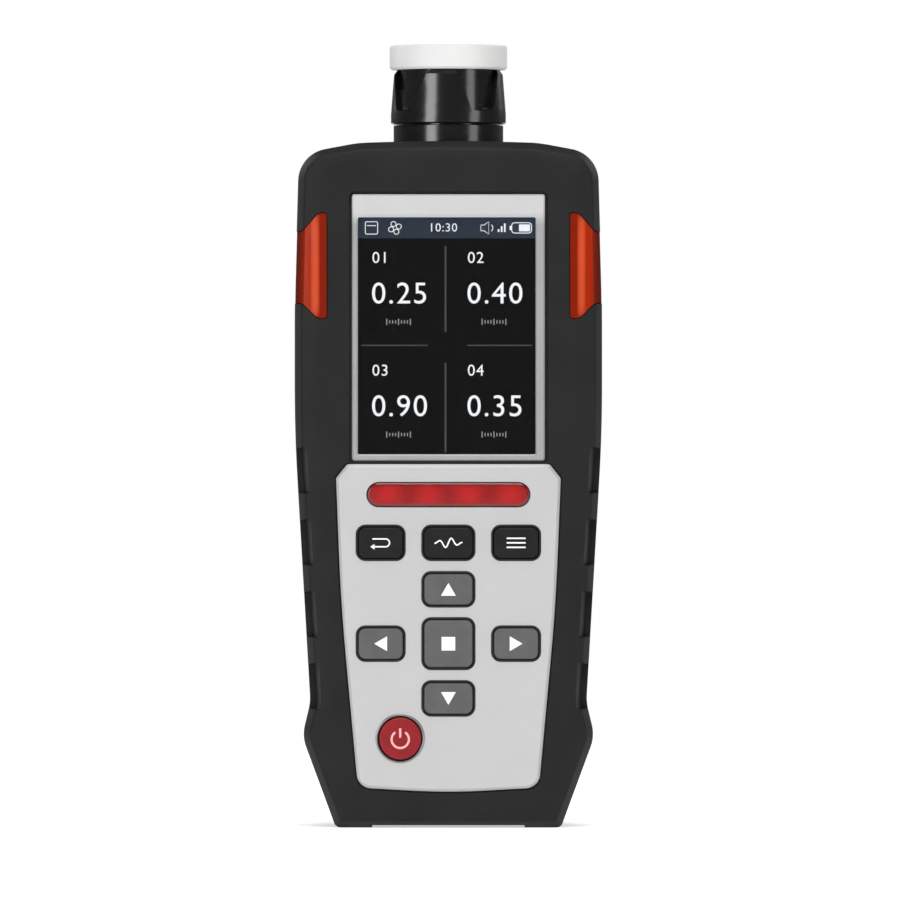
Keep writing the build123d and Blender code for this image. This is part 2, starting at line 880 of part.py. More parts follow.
def retaining_ring():
    """Screwed ring with four V-shaped finger cuts."""
    lip_z = ring_top - ring_lip
    bore = thread_radius + thread_fit
    points = [
        (bore, ring_bottom),
        (ring_foot_radius - 0.3, ring_bottom),
        (ring_foot_radius, ring_bottom + 0.3),
        (ring_foot_radius, ring_bottom + 2.4),
        (ring_top_radius, ring_top - 1.2),
        (ring_top_radius - 0.9, ring_top),
        (cap_stem_radius + cap_stem_fit, ring_top),
        (cap_stem_radius + cap_stem_fit, lip_z),
        (bore, lip_z),
    ]
    ring = turned(points)
    for i in range(finger_cuts):
        ring -= finger_cut(finger_turn + i * 360 / finger_cuts)
    return ring


def finger_cut(angle):
    """A V-shaped pocket in the ring's side, wide at the top, with a round floor."""
    low = ring_bottom + 3.1
    high = ring_top + 1
    outline = FilletPolyline(
        (-3.3, low), (3.3, low), (6.9, high), (-6.9, high), radius=[1.2, 1.2, 0, 0], close=True
    )
    wedge = extrude(Plane.XZ * make_face(outline), amount=ring_foot_radius + 5)
    wedge -= Pos(0, 0, (low + high) / 2) * Cylinder(ring_top_radius - finger_depth, high - low + 4)
    return Pos(0, neck_y) * (Rot(0, 0, angle) * wedge)


def filter_cap():
    """White porous cap on the ring, held by a flanged stem that passes through the ring's lip."""
    flange_top = ring_top - ring_lip - 0.2
    points = [
        (0, flange_top - 1.0),
        (thread_radius - 0.6, flange_top - 1.0),
        (thread_radius - 0.6, flange_top),
        (cap_stem_radius, flange_top),
        (cap_stem_radius, ring_top),
        (cap_radius - 0.5, ring_top),
        (cap_radius, ring_top + 0.5),
        (cap_radius, cap_top - 0.4),
        (cap_radius - 0.4, cap_top),
        (0, cap_top),
    ]
    return turned(points)


def filter_disc():
    """Membrane disc between the neck's rim and the cap's stem."""
    return upright(thread_radius - 0.8, thread_top, thread_top + disc_thickness)


# ---- Battery ---------------------------------------------------------------------------------
def battery_tray():
    """Open box that keeps the cells apart from the electronics."""
    mid = (tray_top + tray_bottom) / 2
    height = tray_top - tray_bottom
    rim = pad_depth - door_thickness - 1.2
    tray = slab(rounded(2 * tray_half, height, 1.4, 0, mid), tray_front, rim)
    hollow = rounded(2 * (tray_half - tray_wall), height - 2 * tray_wall, 0.8, 0, mid)
    tray += motor_cradle()
    return tray - slab(hollow, tray_front + tray_wall, boot_depth)


def cell_places():
    return [side * (cell_diameter + cell_gap) / 2 for side in (-1, 1)]


def battery_cells():
    """Two rechargeable cells, each with a raised top contact."""
    y = front_y + cell_depth
    cells = []
    for x in cell_places():
        cell = upright(cell_diameter / 2, cell_bottom, cell_bottom + cell_length - 0.8, x, y)
        cell = fillet(cell.edges(), 0.8)
        cells.append(cell + upright(3.0, cell_bottom + cell_length - 1.0, cell_bottom + cell_length, x, y))
    return cells


def battery_springs():
    """Cone springs at the cells' lower ends, as stepped rings."""
    y = front_y + cell_depth
    low = tray_bottom + tray_wall
    return [
        Pos(x, y) * turned([
            (3.2, low), (4.4, low), (2.6, cell_bottom), (1.6, cell_bottom)
        ], 0, 0)
        for x in cell_places()
    ]


def battery_contacts():
    """Contact plates at the cells' upper ends."""
    y = front_y + cell_depth
    low = cell_bottom + cell_length
    return [Pos(x, y, low + 0.3) * Box(9, 9, 0.6) for x in cell_places()]


def battery_door():
    """Screwed cover over the battery bay, with a skirt that enters it."""
    near = pad_depth - door_thickness
    door = slab(door_face(), near, pad_depth)
    door = fillet(edges_at(door, pad_depth), 0.5)
    mid = (tray_top + tray_bottom) / 2
    reach = near - 1.0
    outer = rounded(2 * (tray_half - 0.2), tray_top - tray_bottom - 0.4, 1.2, 0, mid)
    inner = rounded(2 * (tray_half - 1.4), tray_top - tray_bottom - 2.8, 0.8, 0, mid)
    door += slab(outer, reach, near) - slab(inner, reach, near)
    for x, z in door_screws:
        door -= rod(door_screw_radius + screw_hole_fit, near - 1, pad_depth + 1, x, z)
        door -= rod(door_screw_head + 0.2, pad_depth - 0.9, pad_depth + 1, x, z)
    for i in range(5):
        door -= slab(rounded(26, 1.0, 0.45, 0, tray_bottom + 14 + i * 2.4), pad_depth - 0.5, pad_depth + 1)
    return door


def door_seal_band():
    """The groove round the battery opening that holds the door's seal."""
    near = pad_depth - door_thickness - seal_depth
    mid = (tray_top + tray_bottom) / 2
    margin = 0.3 + 0.5
    height = tray_top - tray_bottom
    wide = margin + seal_width
    outer = rounded(2 * (tray_half + wide), height + 2 * wide, 2.6, 0, mid)
    inner = rounded(2 * (tray_half + margin), height + 2 * margin, 1.6, 0, mid)
    return slab(outer, near, pad_depth - door_thickness) - slab(inner, near - 1, pad_depth)


def door_screw(place):
    """Captive coin-slot screw."""
    x, z = place
    head = pad_depth - 0.9
    screw = rod(door_screw_head, head, pad_depth + 0.3, x, z)
    screw -= slab(rounded(2 * door_screw_head, 1.0, 0.3, x, z), pad_depth - 0.4, pad_depth + 1)
    return screw + rod(door_screw_radius, pad_depth - door_thickness - 4.5, head, x, z)


def door_inserts():
    """Brass inserts that the door's screws turn in."""
    far = pad_depth - door_thickness
    bore = door_screw_radius + 0.08
    return [
        rod(insert_radius, far - 5.0, far, x, z) - rod(bore, far - 6, far + 1, x, z)
        for x, z in door_screws
    ]


# ---- Boards ----------------------------------------------------------------------------------
def main_board():
    top = crown_height - board_top_drop
    board = slab(
        Pos(0, (top + board_bottom) / 2) * Rectangle(2 * board_half, top - board_bottom),
        board_depth,
        board_depth + board_thickness,
    )
    for x, z in case_bosses:
        board -= rod(boss_radius + 0.4, board_depth - 1, board_depth + 3, x, z)
    for x, z in board_bosses:
        board -= rod(1.1, board_depth - 1, board_depth + 3, x, z)
    return board


# x, z, width, height and thickness of the larger devices on the main board
chips = [
    (-6, 72, 12, 12, 1.4),
    (8, 76, 7, 7, 1.0),
    (-20, 74, 5, 9, 1.6),
    (0, 92, 9, 7, 1.2),
    (10, 94, 6, 6, 2.4),
    (20, 74, 5, 14, 2.8),
    (20, 98, 6, 4, 1.0),
    (-6, 126, 14, 14, 1.6),
]


def board_chips():
    far = board_depth + board_thickness
    return [
        block(x - w / 2, x + w / 2, far, far + t, z - h / 2, z + h / 2) for x, z, w, h, t in chips
    ]


def board_screws():
    far = board_depth + board_thickness
    screws = []
    for x, z in board_bosses:
        screw = rod(2.0, far, far + 1.3, x, z)
        screw -= slab(Pos(x, z) * (Rectangle(2.4, 0.6) + Rectangle(0.6, 2.4)), far + 0.6, far + 2)
        screws.append(screw + rod(0.85, board_depth - 3.5, far, x, z))
    return screws


# ---- Sensors and gas path --------------------------------------------------------------------
sensor_top = crown_height - 16.0
sensor_z = [sensor_top - sensor_radius - sensor_pitch * i for i in (0, 1)]
sensor_places = [(side * sensor_pitch / 2, z) for z in sensor_z for side in (-1, 1)]
sensor_back = sensor_depth + sensor_height


def gas_sensors():
    """Four round sensor capsules, each with a raised sensing face."""
    sensors = []
    for x, z in sensor_places:
        can = rod(sensor_radius, sensor_depth, sensor_back - 1.0, x, z)
        can = fillet(edges_at(can, sensor_back - 1.0), 0.5)
        sensors.append(can + rod(6.0, sensor_back - 1.5, sensor_back, x, z))
    return sensors


def sensor_board():
    """Square board under the sensors, on two pin headers from the main board."""
    mid = (sensor_z[0] + sensor_z[1]) / 2
    height = sensor_pitch + 2 * sensor_radius + 1.0
    board = slab(rounded(height, height, 1.0, 0, mid), sensor_depth - 1.2, sensor_depth)
    near = board_depth + board_thickness
    for side in (-1, 1):
        x = side * (height / 2 - 3.0)
        board += block(x - 1.3, x + 1.3, near, sensor_depth - 1.0, mid - 13, mid + 13)
    return board


def gas_manifold():
    """Plate over the sensing faces, with a spigot up to the neck and one down to the pump."""
    mid = (sensor_z[0] + sensor_z[1]) / 2
    height = sensor_pitch + 2 * sensor_radius - 2.0
    plate = slab(rounded(height, height, 3.0, 0, mid), sensor_back, sensor_back + manifold_thickness)
    y = front_y + sensor_back + manifold_thickness - 0.2
    top = mid + height / 2
    plate += upright(tube_radius, top - 6, top + 1.8, 0, y)
    plate += upright(tube_radius, mid - height / 2 - 3.0, mid - height / 2 + 6, -8, y)
    return plate


pump_z = sensor_z[1] - sensor_radius - 14.5
pump_depth = 22.0
pump_y = front_y + pump_depth
motor_start = -1.9
crank_radius = 3.6


def pump_head():
    """Diaphragm pump head on two feet, with ports above and a chamber for the crank."""
    head = block(-22, -2.1, pump_depth - 8, pump_depth + 9, pump_z - 6, pump_z + 6)
    head = fillet(head.edges().filter_by(Axis.Y), 1.5)
    for z in (pump_z - 3.5, pump_z + 3.5):
        head += rod(1.6, board_depth + board_thickness, pump_depth - 7.5, -18.0, z)
    head += upright(1.5, pump_z + 5, pump_z + 9, -8, front_y + 28)
    head -= Pos(-5.4, pump_y, pump_z) * (Rot(0, 90, 0) * Cylinder(crank_radius + 0.8, 8.0))
    return head


def pump_motor():
    """Round motor with its shaft towards the pump head."""
    motor = Pos(motor_start + 9.5, pump_y, pump_z) * (Rot(0, 90, 0) * Cylinder(5.8, 19))
    motor = fillet(motor.edges(), 0.6)
    return motor + Pos(motor_start - 1.9, pump_y, pump_z) * (Rot(0, 90, 0) * Cylinder(0.75, 4.2))


def pump_crank():
    """Disc with an off-centre pin on the motor's shaft."""
    crank = Pos(motor_start - 2.6, pump_y, pump_z) * (Rot(0, 90, 0) * Cylinder(crank_radius, 2.6))
    crank += Pos(motor_start - 4.8, pump_y, pump_z + 1.9) * (Rot(0, 90, 0) * Cylinder(0.8, 2.2))
    return crank - Pos(motor_start - 2.6, pump_y, pump_z) * (Rot(0, 90, 0) * Cylinder(0.8, 4.0))


# ---- Alarm devices ---------------------------------------------------------------------------
buzzer_x = -17.0
buzzer_z = crown_height - 29.0


def buzzer():
    """Sounder behind the grille."""
    back = tray_back
    body = rod(8.6, back - 4.6, back, buzzer_x, buzzer_z)
    body = fillet(edges_at(body, back - 4.6), 0.6)
    return body - rod(2.0, back - 1.5, back + 1, buzzer_x, buzzer_z)


def sound_holes():
    """A centre hole and a ring of six through the case's back."""
    holes = [rod(1.1, tray_back - 1, boot_depth, buzzer_x, buzzer_z)]
    for i in range(6):
        a = radians(60 * i)
        holes.append(
            rod(1.1, tray_back - 1, boot_depth, buzzer_x + 4.0 * cos(a), buzzer_z + 4.0 * sin(a))
        )
    return joined(holes)


def exhaust_vent(back=pad_depth - 0.3):
    """Sintered plug where the pump blows out."""
    return rod(3.0, tray_back - 1.0, back, -buzzer_x, buzzer_z)


vibrator_x = tray_half + 4.6
vibrator_y = front_y + mid_depth + 3.0
vibrator_z = 44.0


def motor_cradle():
    """A rib on the battery tray that holds the vibration motor."""
    near, far = mid_depth - 2, mid_depth + 8
    rib = block(tray_half - 0.5, vibrator_x - 1.6, near, far, vibrator_z + 2, vibrator_z + 12)
    return rib - upright(3.5, vibrator_z, vibrator_z + 14, vibrator_x, vibrator_y)


def vibration_motor():
    can = upright(3.5, vibrator_z, vibrator_z + 14, vibrator_x, vibrator_y)
    can = fillet(can.edges(), 0.4)
    return can + upright(0.5, vibrator_z - 7.0, vibrator_z + 1, vibrator_x, vibrator_y)


def vibration_weight():
    """Half-round weight on the motor's shaft."""
    weight = upright(3.3, vibrator_z - 6.0, vibrator_z - 1.0, vibrator_x, vibrator_y)
    half = Pos(vibrator_x + 5, vibrator_y, vibrator_z - 3.5) * Box(10 - 1.6, 20, 20)
    return (weight - half) - upright(0.53, vibrator_z - 8, vibrator_z + 2, vibrator_x, vibrator_y)


# ---- Tripod insert and belt clip -------------------------------------------------------------
def tripod_insert():
    insert = rod(tripod_insert_radius, pad_depth - tripod_depth, pad_depth, 0, tripod_z)
    return insert - rod(tripod_bore, pad_depth - tripod_depth - 1, pad_depth + 1, 0, tripod_z)


def belt_clip():
    """Bent spring-steel clip: a base, a turned head, and a tongue with a rolled tip."""
    half = clip_width / 2
    far = pad_depth + clip_sheet
    bend = clip_gap / 2 + clip_sheet
    bend_z = clip_top - bend
    base = block(-half, half, pad_depth, far, clip_top - 16, bend_z)
    base = fillet(base.edges().filter_by(Axis.Y).group_by(Axis.Z)[0], 4.0)
    for x, z in clip_screws:
        base -= rod(1.6, pad_depth - 1, far + 1, x, z)
    head = Pos(0, front_y + pad_depth + bend, bend_z) * (
        Rot(0, 90, 0) * (Cylinder(bend, clip_width) - Cylinder(bend - clip_sheet, clip_width))
    )
    head &= block(-half, half, pad_depth - 1, clip_back + 1, bend_z, clip_top + 1)
    tip = 2.2
    tongue = block(-half, half, clip_back - clip_sheet, clip_back, clip_bottom + tip, bend_z)
    roll = Pos(0, front_y + clip_back - tip, clip_bottom + tip) * (
        Rot(0, 90, 0) * (Cylinder(tip, clip_width) - Cylinder(tip - clip_sheet, clip_width))
    )
    roll &= block(-half, half, pad_depth, clip_back + 1, clip_bottom - 1, clip_bottom + tip)
    rib = rounded(5.0, 22.0, 2.4, 0, clip_bottom + 20)
    return base + head + tongue + roll - slab(rib, clip_back - 0.4, clip_back + 1)


def clip_screw_pair():
    """Two flat-headed screws through the clip's base."""
    screws = []
    near = pad_depth + clip_sheet
    for x, z in clip_screws:
        screw = rod(2.8, near, near + 1.2, x, z)
        screw = fillet(edges_at(screw, near + 1.2), 0.4)
        screw -= slab(Pos(x, z) * (Rectangle(3.2, 0.7) + Rectangle(0.7, 3.2)), near + 0.5, near + 2)
        screws.append(screw + rod(1.25, pad_depth - 4.5, near, x, z))
    return screws


def clip_inserts():
    """Brass inserts for the belt clip's screws."""
    return [
        rod(insert_radius, pad_depth - 5.0, pad_depth, x, z) - rod(1.3, pad_depth - 6, pad_depth + 1, x, z)
        for x, z in clip_screws
    ]


# ---- Side port -------------------------------------------------------------------------------
port_depth = board_depth + board_thickness + port_width / 2


def port_hole():
    """The slot in the case's side for the plug."""
    face = Plane.YZ.offset(-chest_half - 1) * (
        Pos(front_y + port_depth, port_height) * RectangleRounded(port_width + 0.9, port_length + 0.9, 1.6)
    )
    return extrude(face, amount=6)


def port_socket():
    """Charging socket on the main board."""
    length = 7.4
    start = -(chest_half - inner_inset + 1.0)
    face = Plane.YZ.offset(start) * (
        Pos(front_y + port_depth, port_height) * RectangleRounded(port_width, port_length, 1.3)
    )
    hole = Plane.YZ.offset(start) * (
        Pos(front_y + port_depth, port_height) * RectangleRounded(port_width - 0.7, port_length - 0.7, 1.0)
    )
    socket = extrude(face, amount=length) - extrude(hole, amount=length - 1)
    tongue = Pos(start + length / 2 + 0.6, front_y + port_depth, port_height) * Box(length - 1.2, 0.7, 6.6)
    return socket + tongue


def flap_window():
    """The opening in the boot's side for the flap."""
    near = hinge_depth - flap_reach - flap_gap
    far = hinge_depth + hinge_radius + flap_gap
    half = flap_length / 2 + flap_gap
    out = -chest_half - 1
    return block(out, out + boot_wall + 2, near, far, port_height - half, port_height + half)


def flap_pin():
    """Steel pin that the flap turns on, held in the boot at both ends."""
    half = flap_length / 2 + 2.0
    return upright(hinge_pin_radius, port_height - half, port_height + half, hinge_x, front_y + hinge_depth)


def port_flap():
    """Rubber flap with a barrel on the pin, a plug for the socket, and a finger lip."""
    half = flap_length / 2
    out = hinge_x - hinge_radius
    near = hinge_depth - flap_reach
    low, high = port_height - half, port_height + half
    flap = block(out, out + flap_thickness, near, hinge_depth, low, high)
    flap = fillet(flap.edges().filter_by(Axis.X).group_by(Axis.Y)[0], 1.5)
    hinge_side = front_y + hinge_depth - 0.5
    outer_edges = [e for e in flap.edges() if abs(e.center().X - out) < 0.01]
    flap = fillet([e for e in outer_edges if e.center().Y < hinge_side], 0.3)
    flap += upright(hinge_radius, port_height - half, port_height + half, hinge_x, front_y + hinge_depth)
    plug = Plane.YZ.offset(out + flap_thickness - 0.2) * (
        Pos(front_y + port_depth, port_height) * RectangleRounded(port_width - 0.8, port_length - 0.8, 1.1)
    )
    flap += extrude(plug, amount=1.3)
    for i in range(3):
        rib = near + 1.0 + i * 1.1
        flap -= block(out - 1, out + 0.25, rib, rib + 0.5, port_height - 4, port_height + 4)
    return flap - upright(hinge_pin_radius + hinge_fit, 0, crown_height, hinge_x, front_y + hinge_depth)


# ---- Parts -----------------------------------------------------------------------------------
def save(name, shape):
    """Writes one part's STEP file. A list becomes one group."""
    if isinstance(shape, list):
        solids = [solid for piece in shape for solid in piece.solids()]
        shape = Compound(label=name, children=[Solid(s.wrapped) for s in solids])
    shape.label = name
    export_step(shape, f"parts/{name}.step")


def build():
    os.makedirs("parts", exist_ok=True)
    save("rubber_boot", rubber_boot())
    save("front_case", front_case())
    save("rear_case", rear_case())
    save("case_seal", seal_groove())
    save("case_screws", case_screws())
    save("display_frame", display_frame())
    save("display_lens", display_lens())
    save("display_gasket", display_gasket())
    save("lcd_glass", lcd_glass())
    save("lcd_backlight", lcd_backlight())
    save("keypad_panel", keypad_panel())
    save("keypad_mat", keypad_mat())
    for name in keys:
        save(name, keypad_key(name))
    save("key_domes", key_domes())
    save("key_board", key_board())
    save("light_bar", light_bar())
    save("bar_leds", bar_leds())
    save("alarm_light_left", alarm_light(-1))
    save("alarm_light_right", alarm_light(1))
    save("light_boards", [light_board(-1), light_board(1)])
    save("inlet_neck", inlet_neck())
    save("neck_seal", neck_seal())
    save("retaining_ring", retaining_ring())
    save("filter_cap", filter_cap())
    save("filter_disc", filter_disc())
    save("battery_tray", battery_tray())
    save("battery_cells", battery_cells())
    save("battery_contacts", battery_springs() + battery_contacts())
    save("battery_door", battery_door())
    save("door_seal", door_seal_band())
    save("door_screw_low", door_screw(door_screws[0]))
    save("door_screw_high", door_screw(door_screws[1]))
    save("brass_inserts", door_inserts() + clip_inserts())
    save("main_board", main_board())
    save("board_chips", board_chips())
    save("board_screws", board_screws() + key_board_screws())
    save("sensor_board", sensor_board())
    save("gas_sensors", gas_sensors())
    save("gas_manifold", gas_manifold())
    save("pump_head", pump_head())
    save("pump_motor", pump_motor())
    save("pump_crank", pump_crank())
    save("buzzer", buzzer())
    save("exhaust_vent", exhaust_vent())
    save("vibration_motor", vibration_motor())
    save("vibration_weight", vibration_weight())
    save("tripod_insert", tripod_insert())
    save("belt_clip", belt_clip())
    save("clip_screws", clip_screw_pair())
    save("port_socket", port_socket())
    save("port_flap", port_flap())
    save("flap_pin", flap_pin())


if __name__ == "__main__":
    build()
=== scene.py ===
import bmesh
import bpy
import json
import math
from mathutils import Matrix, Vector


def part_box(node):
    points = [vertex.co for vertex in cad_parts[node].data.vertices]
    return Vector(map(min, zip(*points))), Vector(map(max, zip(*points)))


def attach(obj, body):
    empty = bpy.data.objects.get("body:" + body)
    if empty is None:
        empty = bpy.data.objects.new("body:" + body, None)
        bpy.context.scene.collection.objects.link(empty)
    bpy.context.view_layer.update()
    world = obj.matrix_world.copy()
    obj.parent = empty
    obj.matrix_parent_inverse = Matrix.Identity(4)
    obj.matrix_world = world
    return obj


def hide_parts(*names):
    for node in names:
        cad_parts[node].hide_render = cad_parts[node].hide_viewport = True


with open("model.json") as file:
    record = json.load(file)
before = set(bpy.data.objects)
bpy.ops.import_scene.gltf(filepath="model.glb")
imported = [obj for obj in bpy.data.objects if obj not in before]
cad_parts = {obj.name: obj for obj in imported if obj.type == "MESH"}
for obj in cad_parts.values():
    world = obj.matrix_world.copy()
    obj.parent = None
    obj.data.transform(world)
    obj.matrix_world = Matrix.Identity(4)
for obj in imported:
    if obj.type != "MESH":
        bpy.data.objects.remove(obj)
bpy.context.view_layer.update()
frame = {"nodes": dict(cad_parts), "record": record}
mm = 0.001
bodyOf = {node: body for body, nodes in frame["record"]["behaviour"]["bodies"].items() for node in nodes}
slotOf = {part["node"]: part["material_slot"] for part in frame["record"]["subparts"]}
print("frame loaded:", len(frame["nodes"]), "nodes")


# Shader sockets as numbers: an expression on values adds its Math nodes

class Value:
    def __init__(self, tree, socket):
        self.tree, self.socket = tree, socket

    def math(self, operation, other=None, swapped=False, clamp=False):
        node = self.tree.nodes.new("ShaderNodeMath")
        node.operation, node.use_clamp = operation, clamp
        items = (other, self) if swapped else (self, other)
        for entry, item in zip(node.inputs, items):
            if isinstance(item, Value):
                self.tree.links.new(item.socket, entry)
            elif item is not None:
                entry.default_value = item
        return Value(self.tree, node.outputs[0])

    def __add__(self, other):
        return self.math("ADD", other)

    def __radd__(self, other):
        return self.math("ADD", other, swapped=True)

    def __sub__(self, other):
        return self.math("SUBTRACT", other)

    def __rsub__(self, other):
        return self.math("SUBTRACT", other, swapped=True)

    def __mul__(self, other):
        return self.math("MULTIPLY", other)

    def __rmul__(self, other):
        return self.math("MULTIPLY", other, swapped=True)

    def __truediv__(self, other):
        return self.math("DIVIDE", other)

    def __rtruediv__(self, other):
        return self.math("DIVIDE", other, swapped=True)

    def between(self, low, high):
        # 0 below low, 1 above high, straight in between
        return ((self - low) / (high - low)).math("MULTIPLY", 1.0, clamp=True)


class Finish:
    def __init__(self, name, **fixed):
        self.material = bpy.data.materials.new(name)
        self.material.use_nodes = True
        self.tree = self.material.node_tree
        self.shader = self.tree.nodes["Principled BSDF"]
        for socket, value in fixed.items():
            self.shader.inputs[socket.replace("_", " ")].default_value = value

    def node(self, kind, settings=None, inputs=None, out=0):
        # any node: its settings first, then the values or links of its sockets
        node = self.tree.nodes.new(kind)
        for key, value in (settings or {}).items():
            setattr(node, key, value)
        for key, value in (inputs or {}).items():
            if isinstance(value, Value):
                self.tree.links.new(value.socket, node.inputs[key])
            else:
                node.inputs[key].default_value = value
        return Value(self.tree, node.outputs[out])

    def place(self, stretch=(1, 1, 1), turn=(0, 0, 0)):
        coords = self.node("ShaderNodeTexCoord", out="Object")
        return self.node("ShaderNodeMapping", inputs={"Vector": coords, "Scale": stretch, "Rotation": turn})

    def axis(self, name):
        return self.node("ShaderNodeSeparateXYZ", inputs={"Vector": self.node("ShaderNodeTexCoord", out="Object")},
                         out=name)

    def noise(self, size, detail=2.0, rough=0.5, stretch=(1, 1, 1)):
        # size is the width of one grain in metres
        return self.node("ShaderNodeTexNoise", inputs={
            "Vector": self.place(stretch), "Scale": 1 / size, "Detail": detail, "Roughness": rough})

    def cells(self, size, out="Color", feature="F1"):
        return self.node("ShaderNodeTexVoronoi", {"feature": feature},
                         {"Vector": self.place(), "Scale": 1 / size}, out=out)

    def mix(self, factor, first, second):
        node = self.tree.nodes.new("ShaderNodeMix")
        node.data_type = "RGBA"
        sockets = {"Factor": node.inputs[0], "A": node.inputs[6], "B": node.inputs[7]}
        for key, value in (("Factor", factor), ("A", first), ("B", second)):
            if isinstance(value, Value):
                self.tree.links.new(value.socket, sockets[key])
            else:
                sockets[key].default_value = value
        return Value(self.tree, node.outputs[2])

    def bump(self, height, strength, depth, under=None):
        inputs = {"Height": height, "Strength": strength, "Distance": depth}
        if under:
            inputs["Normal"] = under
        return self.node("ShaderNodeBump", inputs=inputs)

    def feed(self, **links):
        for socket, value in links.items():
            self.tree.links.new(value.socket, self.shader.inputs[socket.replace("_", " ")])
        return self.material


def rgb(*parts):
    return (*parts, 1.0) if len(parts) == 3 else (parts[0], parts[0], parts[0], 1.0)


# Finishes, one for each of the record's slots

mouldedValues = {
    # dark and light are the two ends of the colour, grain the width of the mould's texture in metres
    "boot_rubber": dict(dark=rgb(0.0095), light=rgb(0.0145), rough=(0.5, 0.64),
                        grain=0.00022, depth=0.00003, patch=0.012, shine=0.16),
    "case_plastic": dict(dark=rgb(0.011), light=rgb(0.018), rough=(0.42, 0.56), grain=0.00026, depth=0.000025,
                         patch=0.02),
    "seal_rubber": dict(dark=rgb(0.09), light=rgb(0.13), rough=(0.5, 0.65), grain=0.0003, depth=0.00001,
                        patch=0.01),
    "mat_rubber": dict(dark=rgb(0.005), light=rgb(0.008), rough=(0.45, 0.6), grain=0.00015, depth=0.000008,
                       patch=0.006),
    "key_grey": dict(dark=rgb(0.085), light=rgb(0.105), rough=(0.46, 0.6),
                     grain=0.00014, depth=0.000008, patch=0.004, shine=0.25),
    "key_black": dict(dark=rgb(0.01), light=rgb(0.015), rough=(0.42, 0.55), grain=0.00014, depth=0.000008,
                      patch=0.004, shine=0.12),
    "key_red": dict(dark=rgb(0.19, 0.005, 0.009), light=rgb(0.28, 0.007, 0.013), rough=(0.34, 0.46), grain=0.00014,
                    depth=0.000006, patch=0.004, shine=0.3),
    "chip_black": dict(dark=rgb(0.014), light=rgb(0.022), rough=(0.5, 0.6), grain=0.0001, depth=0.000004,
                       patch=0.003),
    "led_white": dict(dark=rgb(0.72, 0.68, 0.42), light=rgb(0.85, 0.82, 0.6), rough=(0.2, 0.3), grain=0.0002,
                      depth=0.000002, patch=0.002),
    "tray_grey": dict(dark=rgb(0.055), light=rgb(0.08), rough=(0.45, 0.6), grain=0.0003, depth=0.00002,
                      patch=0.015),
    "sensor_white": dict(dark=rgb(0.6, 0.6, 0.58), light=rgb(0.72, 0.72, 0.7), rough=(0.35, 0.5), grain=0.0002,
                         depth=0.000006, patch=0.01),
    "manifold_plastic": dict(dark=rgb(0.2, 0.21, 0.23), light=rgb(0.28, 0.29, 0.31), rough=(0.4, 0.55),
                             grain=0.00025, depth=0.00001, patch=0.01),
    "pump_plastic": dict(dark=rgb(0.03), light=rgb(0.05), rough=(0.35, 0.5), grain=0.0002, depth=0.00001,
                         patch=0.008),
    "membrane": dict(dark=rgb(0.72, 0.72, 0.69), light=rgb(0.86, 0.86, 0.83), rough=(0.8, 0.95), grain=0.0002,
                     depth=0.00003, patch=0.002, sheen=0.2),
    "cell_wrap": dict(dark=rgb(0.03, 0.09, 0.24), light=rgb(0.04, 0.12, 0.3), rough=(0.25, 0.36), grain=0.0015,
                      depth=0.00002, patch=0.01),
}


def moulded(slot):
    v = mouldedValues[slot]
    f = Finish(slot, Sheen_Weight=v.get("sheen", 0.0), Sheen_Roughness=0.5,
               Specular_IOR_Level=v.get("shine", 0.5))
    patch = f.noise(v["patch"], detail=3)
    grain = f.noise(v["grain"], detail=2)
    pits = f.cells(v["grain"] * 1.8, out="Distance")
    low, high = v["rough"]
    tone = (patch * 0.7 + grain * 0.3).between(0.3, 0.7)
    return f.feed(
        Base_Color=f.mix(tone, v["dark"], v["light"]),
        Roughness=low + (high - low) * (grain * 0.6 + patch * 0.4),
        Normal=f.bump(grain * 0.6 + pits * 0.5, 0.6, v["depth"]))


lacquerValues = {
    "frame_silver": dict(dark=rgb(0.29, 0.292, 0.295), light=rgb(0.63, 0.632, 0.635), metal=0.2,
                         rough=(0.26, 0.36), header=0.65),
    "panel_silver": dict(dark=rgb(0.445, 0.445, 0.447), light=rgb(0.515, 0.515, 0.517), metal=0.15,
                         rough=(0.36, 0.46)),
}
flakeSize = 0.00009


def lacquered(slot):
    v = lacquerValues[slot]
    f = Finish(slot, Metallic=v["metal"], Coat_Weight=0.25, Coat_Roughness=0.2)
    flakes = f.cells(flakeSize)
    flakeTone = f.node("ShaderNodeRGBToBW", inputs={"Color": flakes})
    cloud = f.noise(0.009, detail=4)
    orangePeel = f.noise(0.0009, detail=1)
    low, high = v["rough"]
    fine = f.bump(flakeTone, 0.08, 0.000006)
    tone = flakeTone * 0.55 + cloud * 0.45
    if "header" in v:
        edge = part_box("lcd_glass")[1].z
        above = f.axis("Z").between(edge - 2.5 * mm, edge + 0.8 * mm)
        tone = (tone * 0.35 + above * v["header"]).between(0.0, 1.0)
    return f.feed(
        Base_Color=f.mix(tone, v["dark"], v["light"]),
        Roughness=low + (high - low) * (flakeTone * 0.5 + cloud * 0.5),
        Normal=f.bump(orangePeel, 0.12, 0.000012, under=fine))


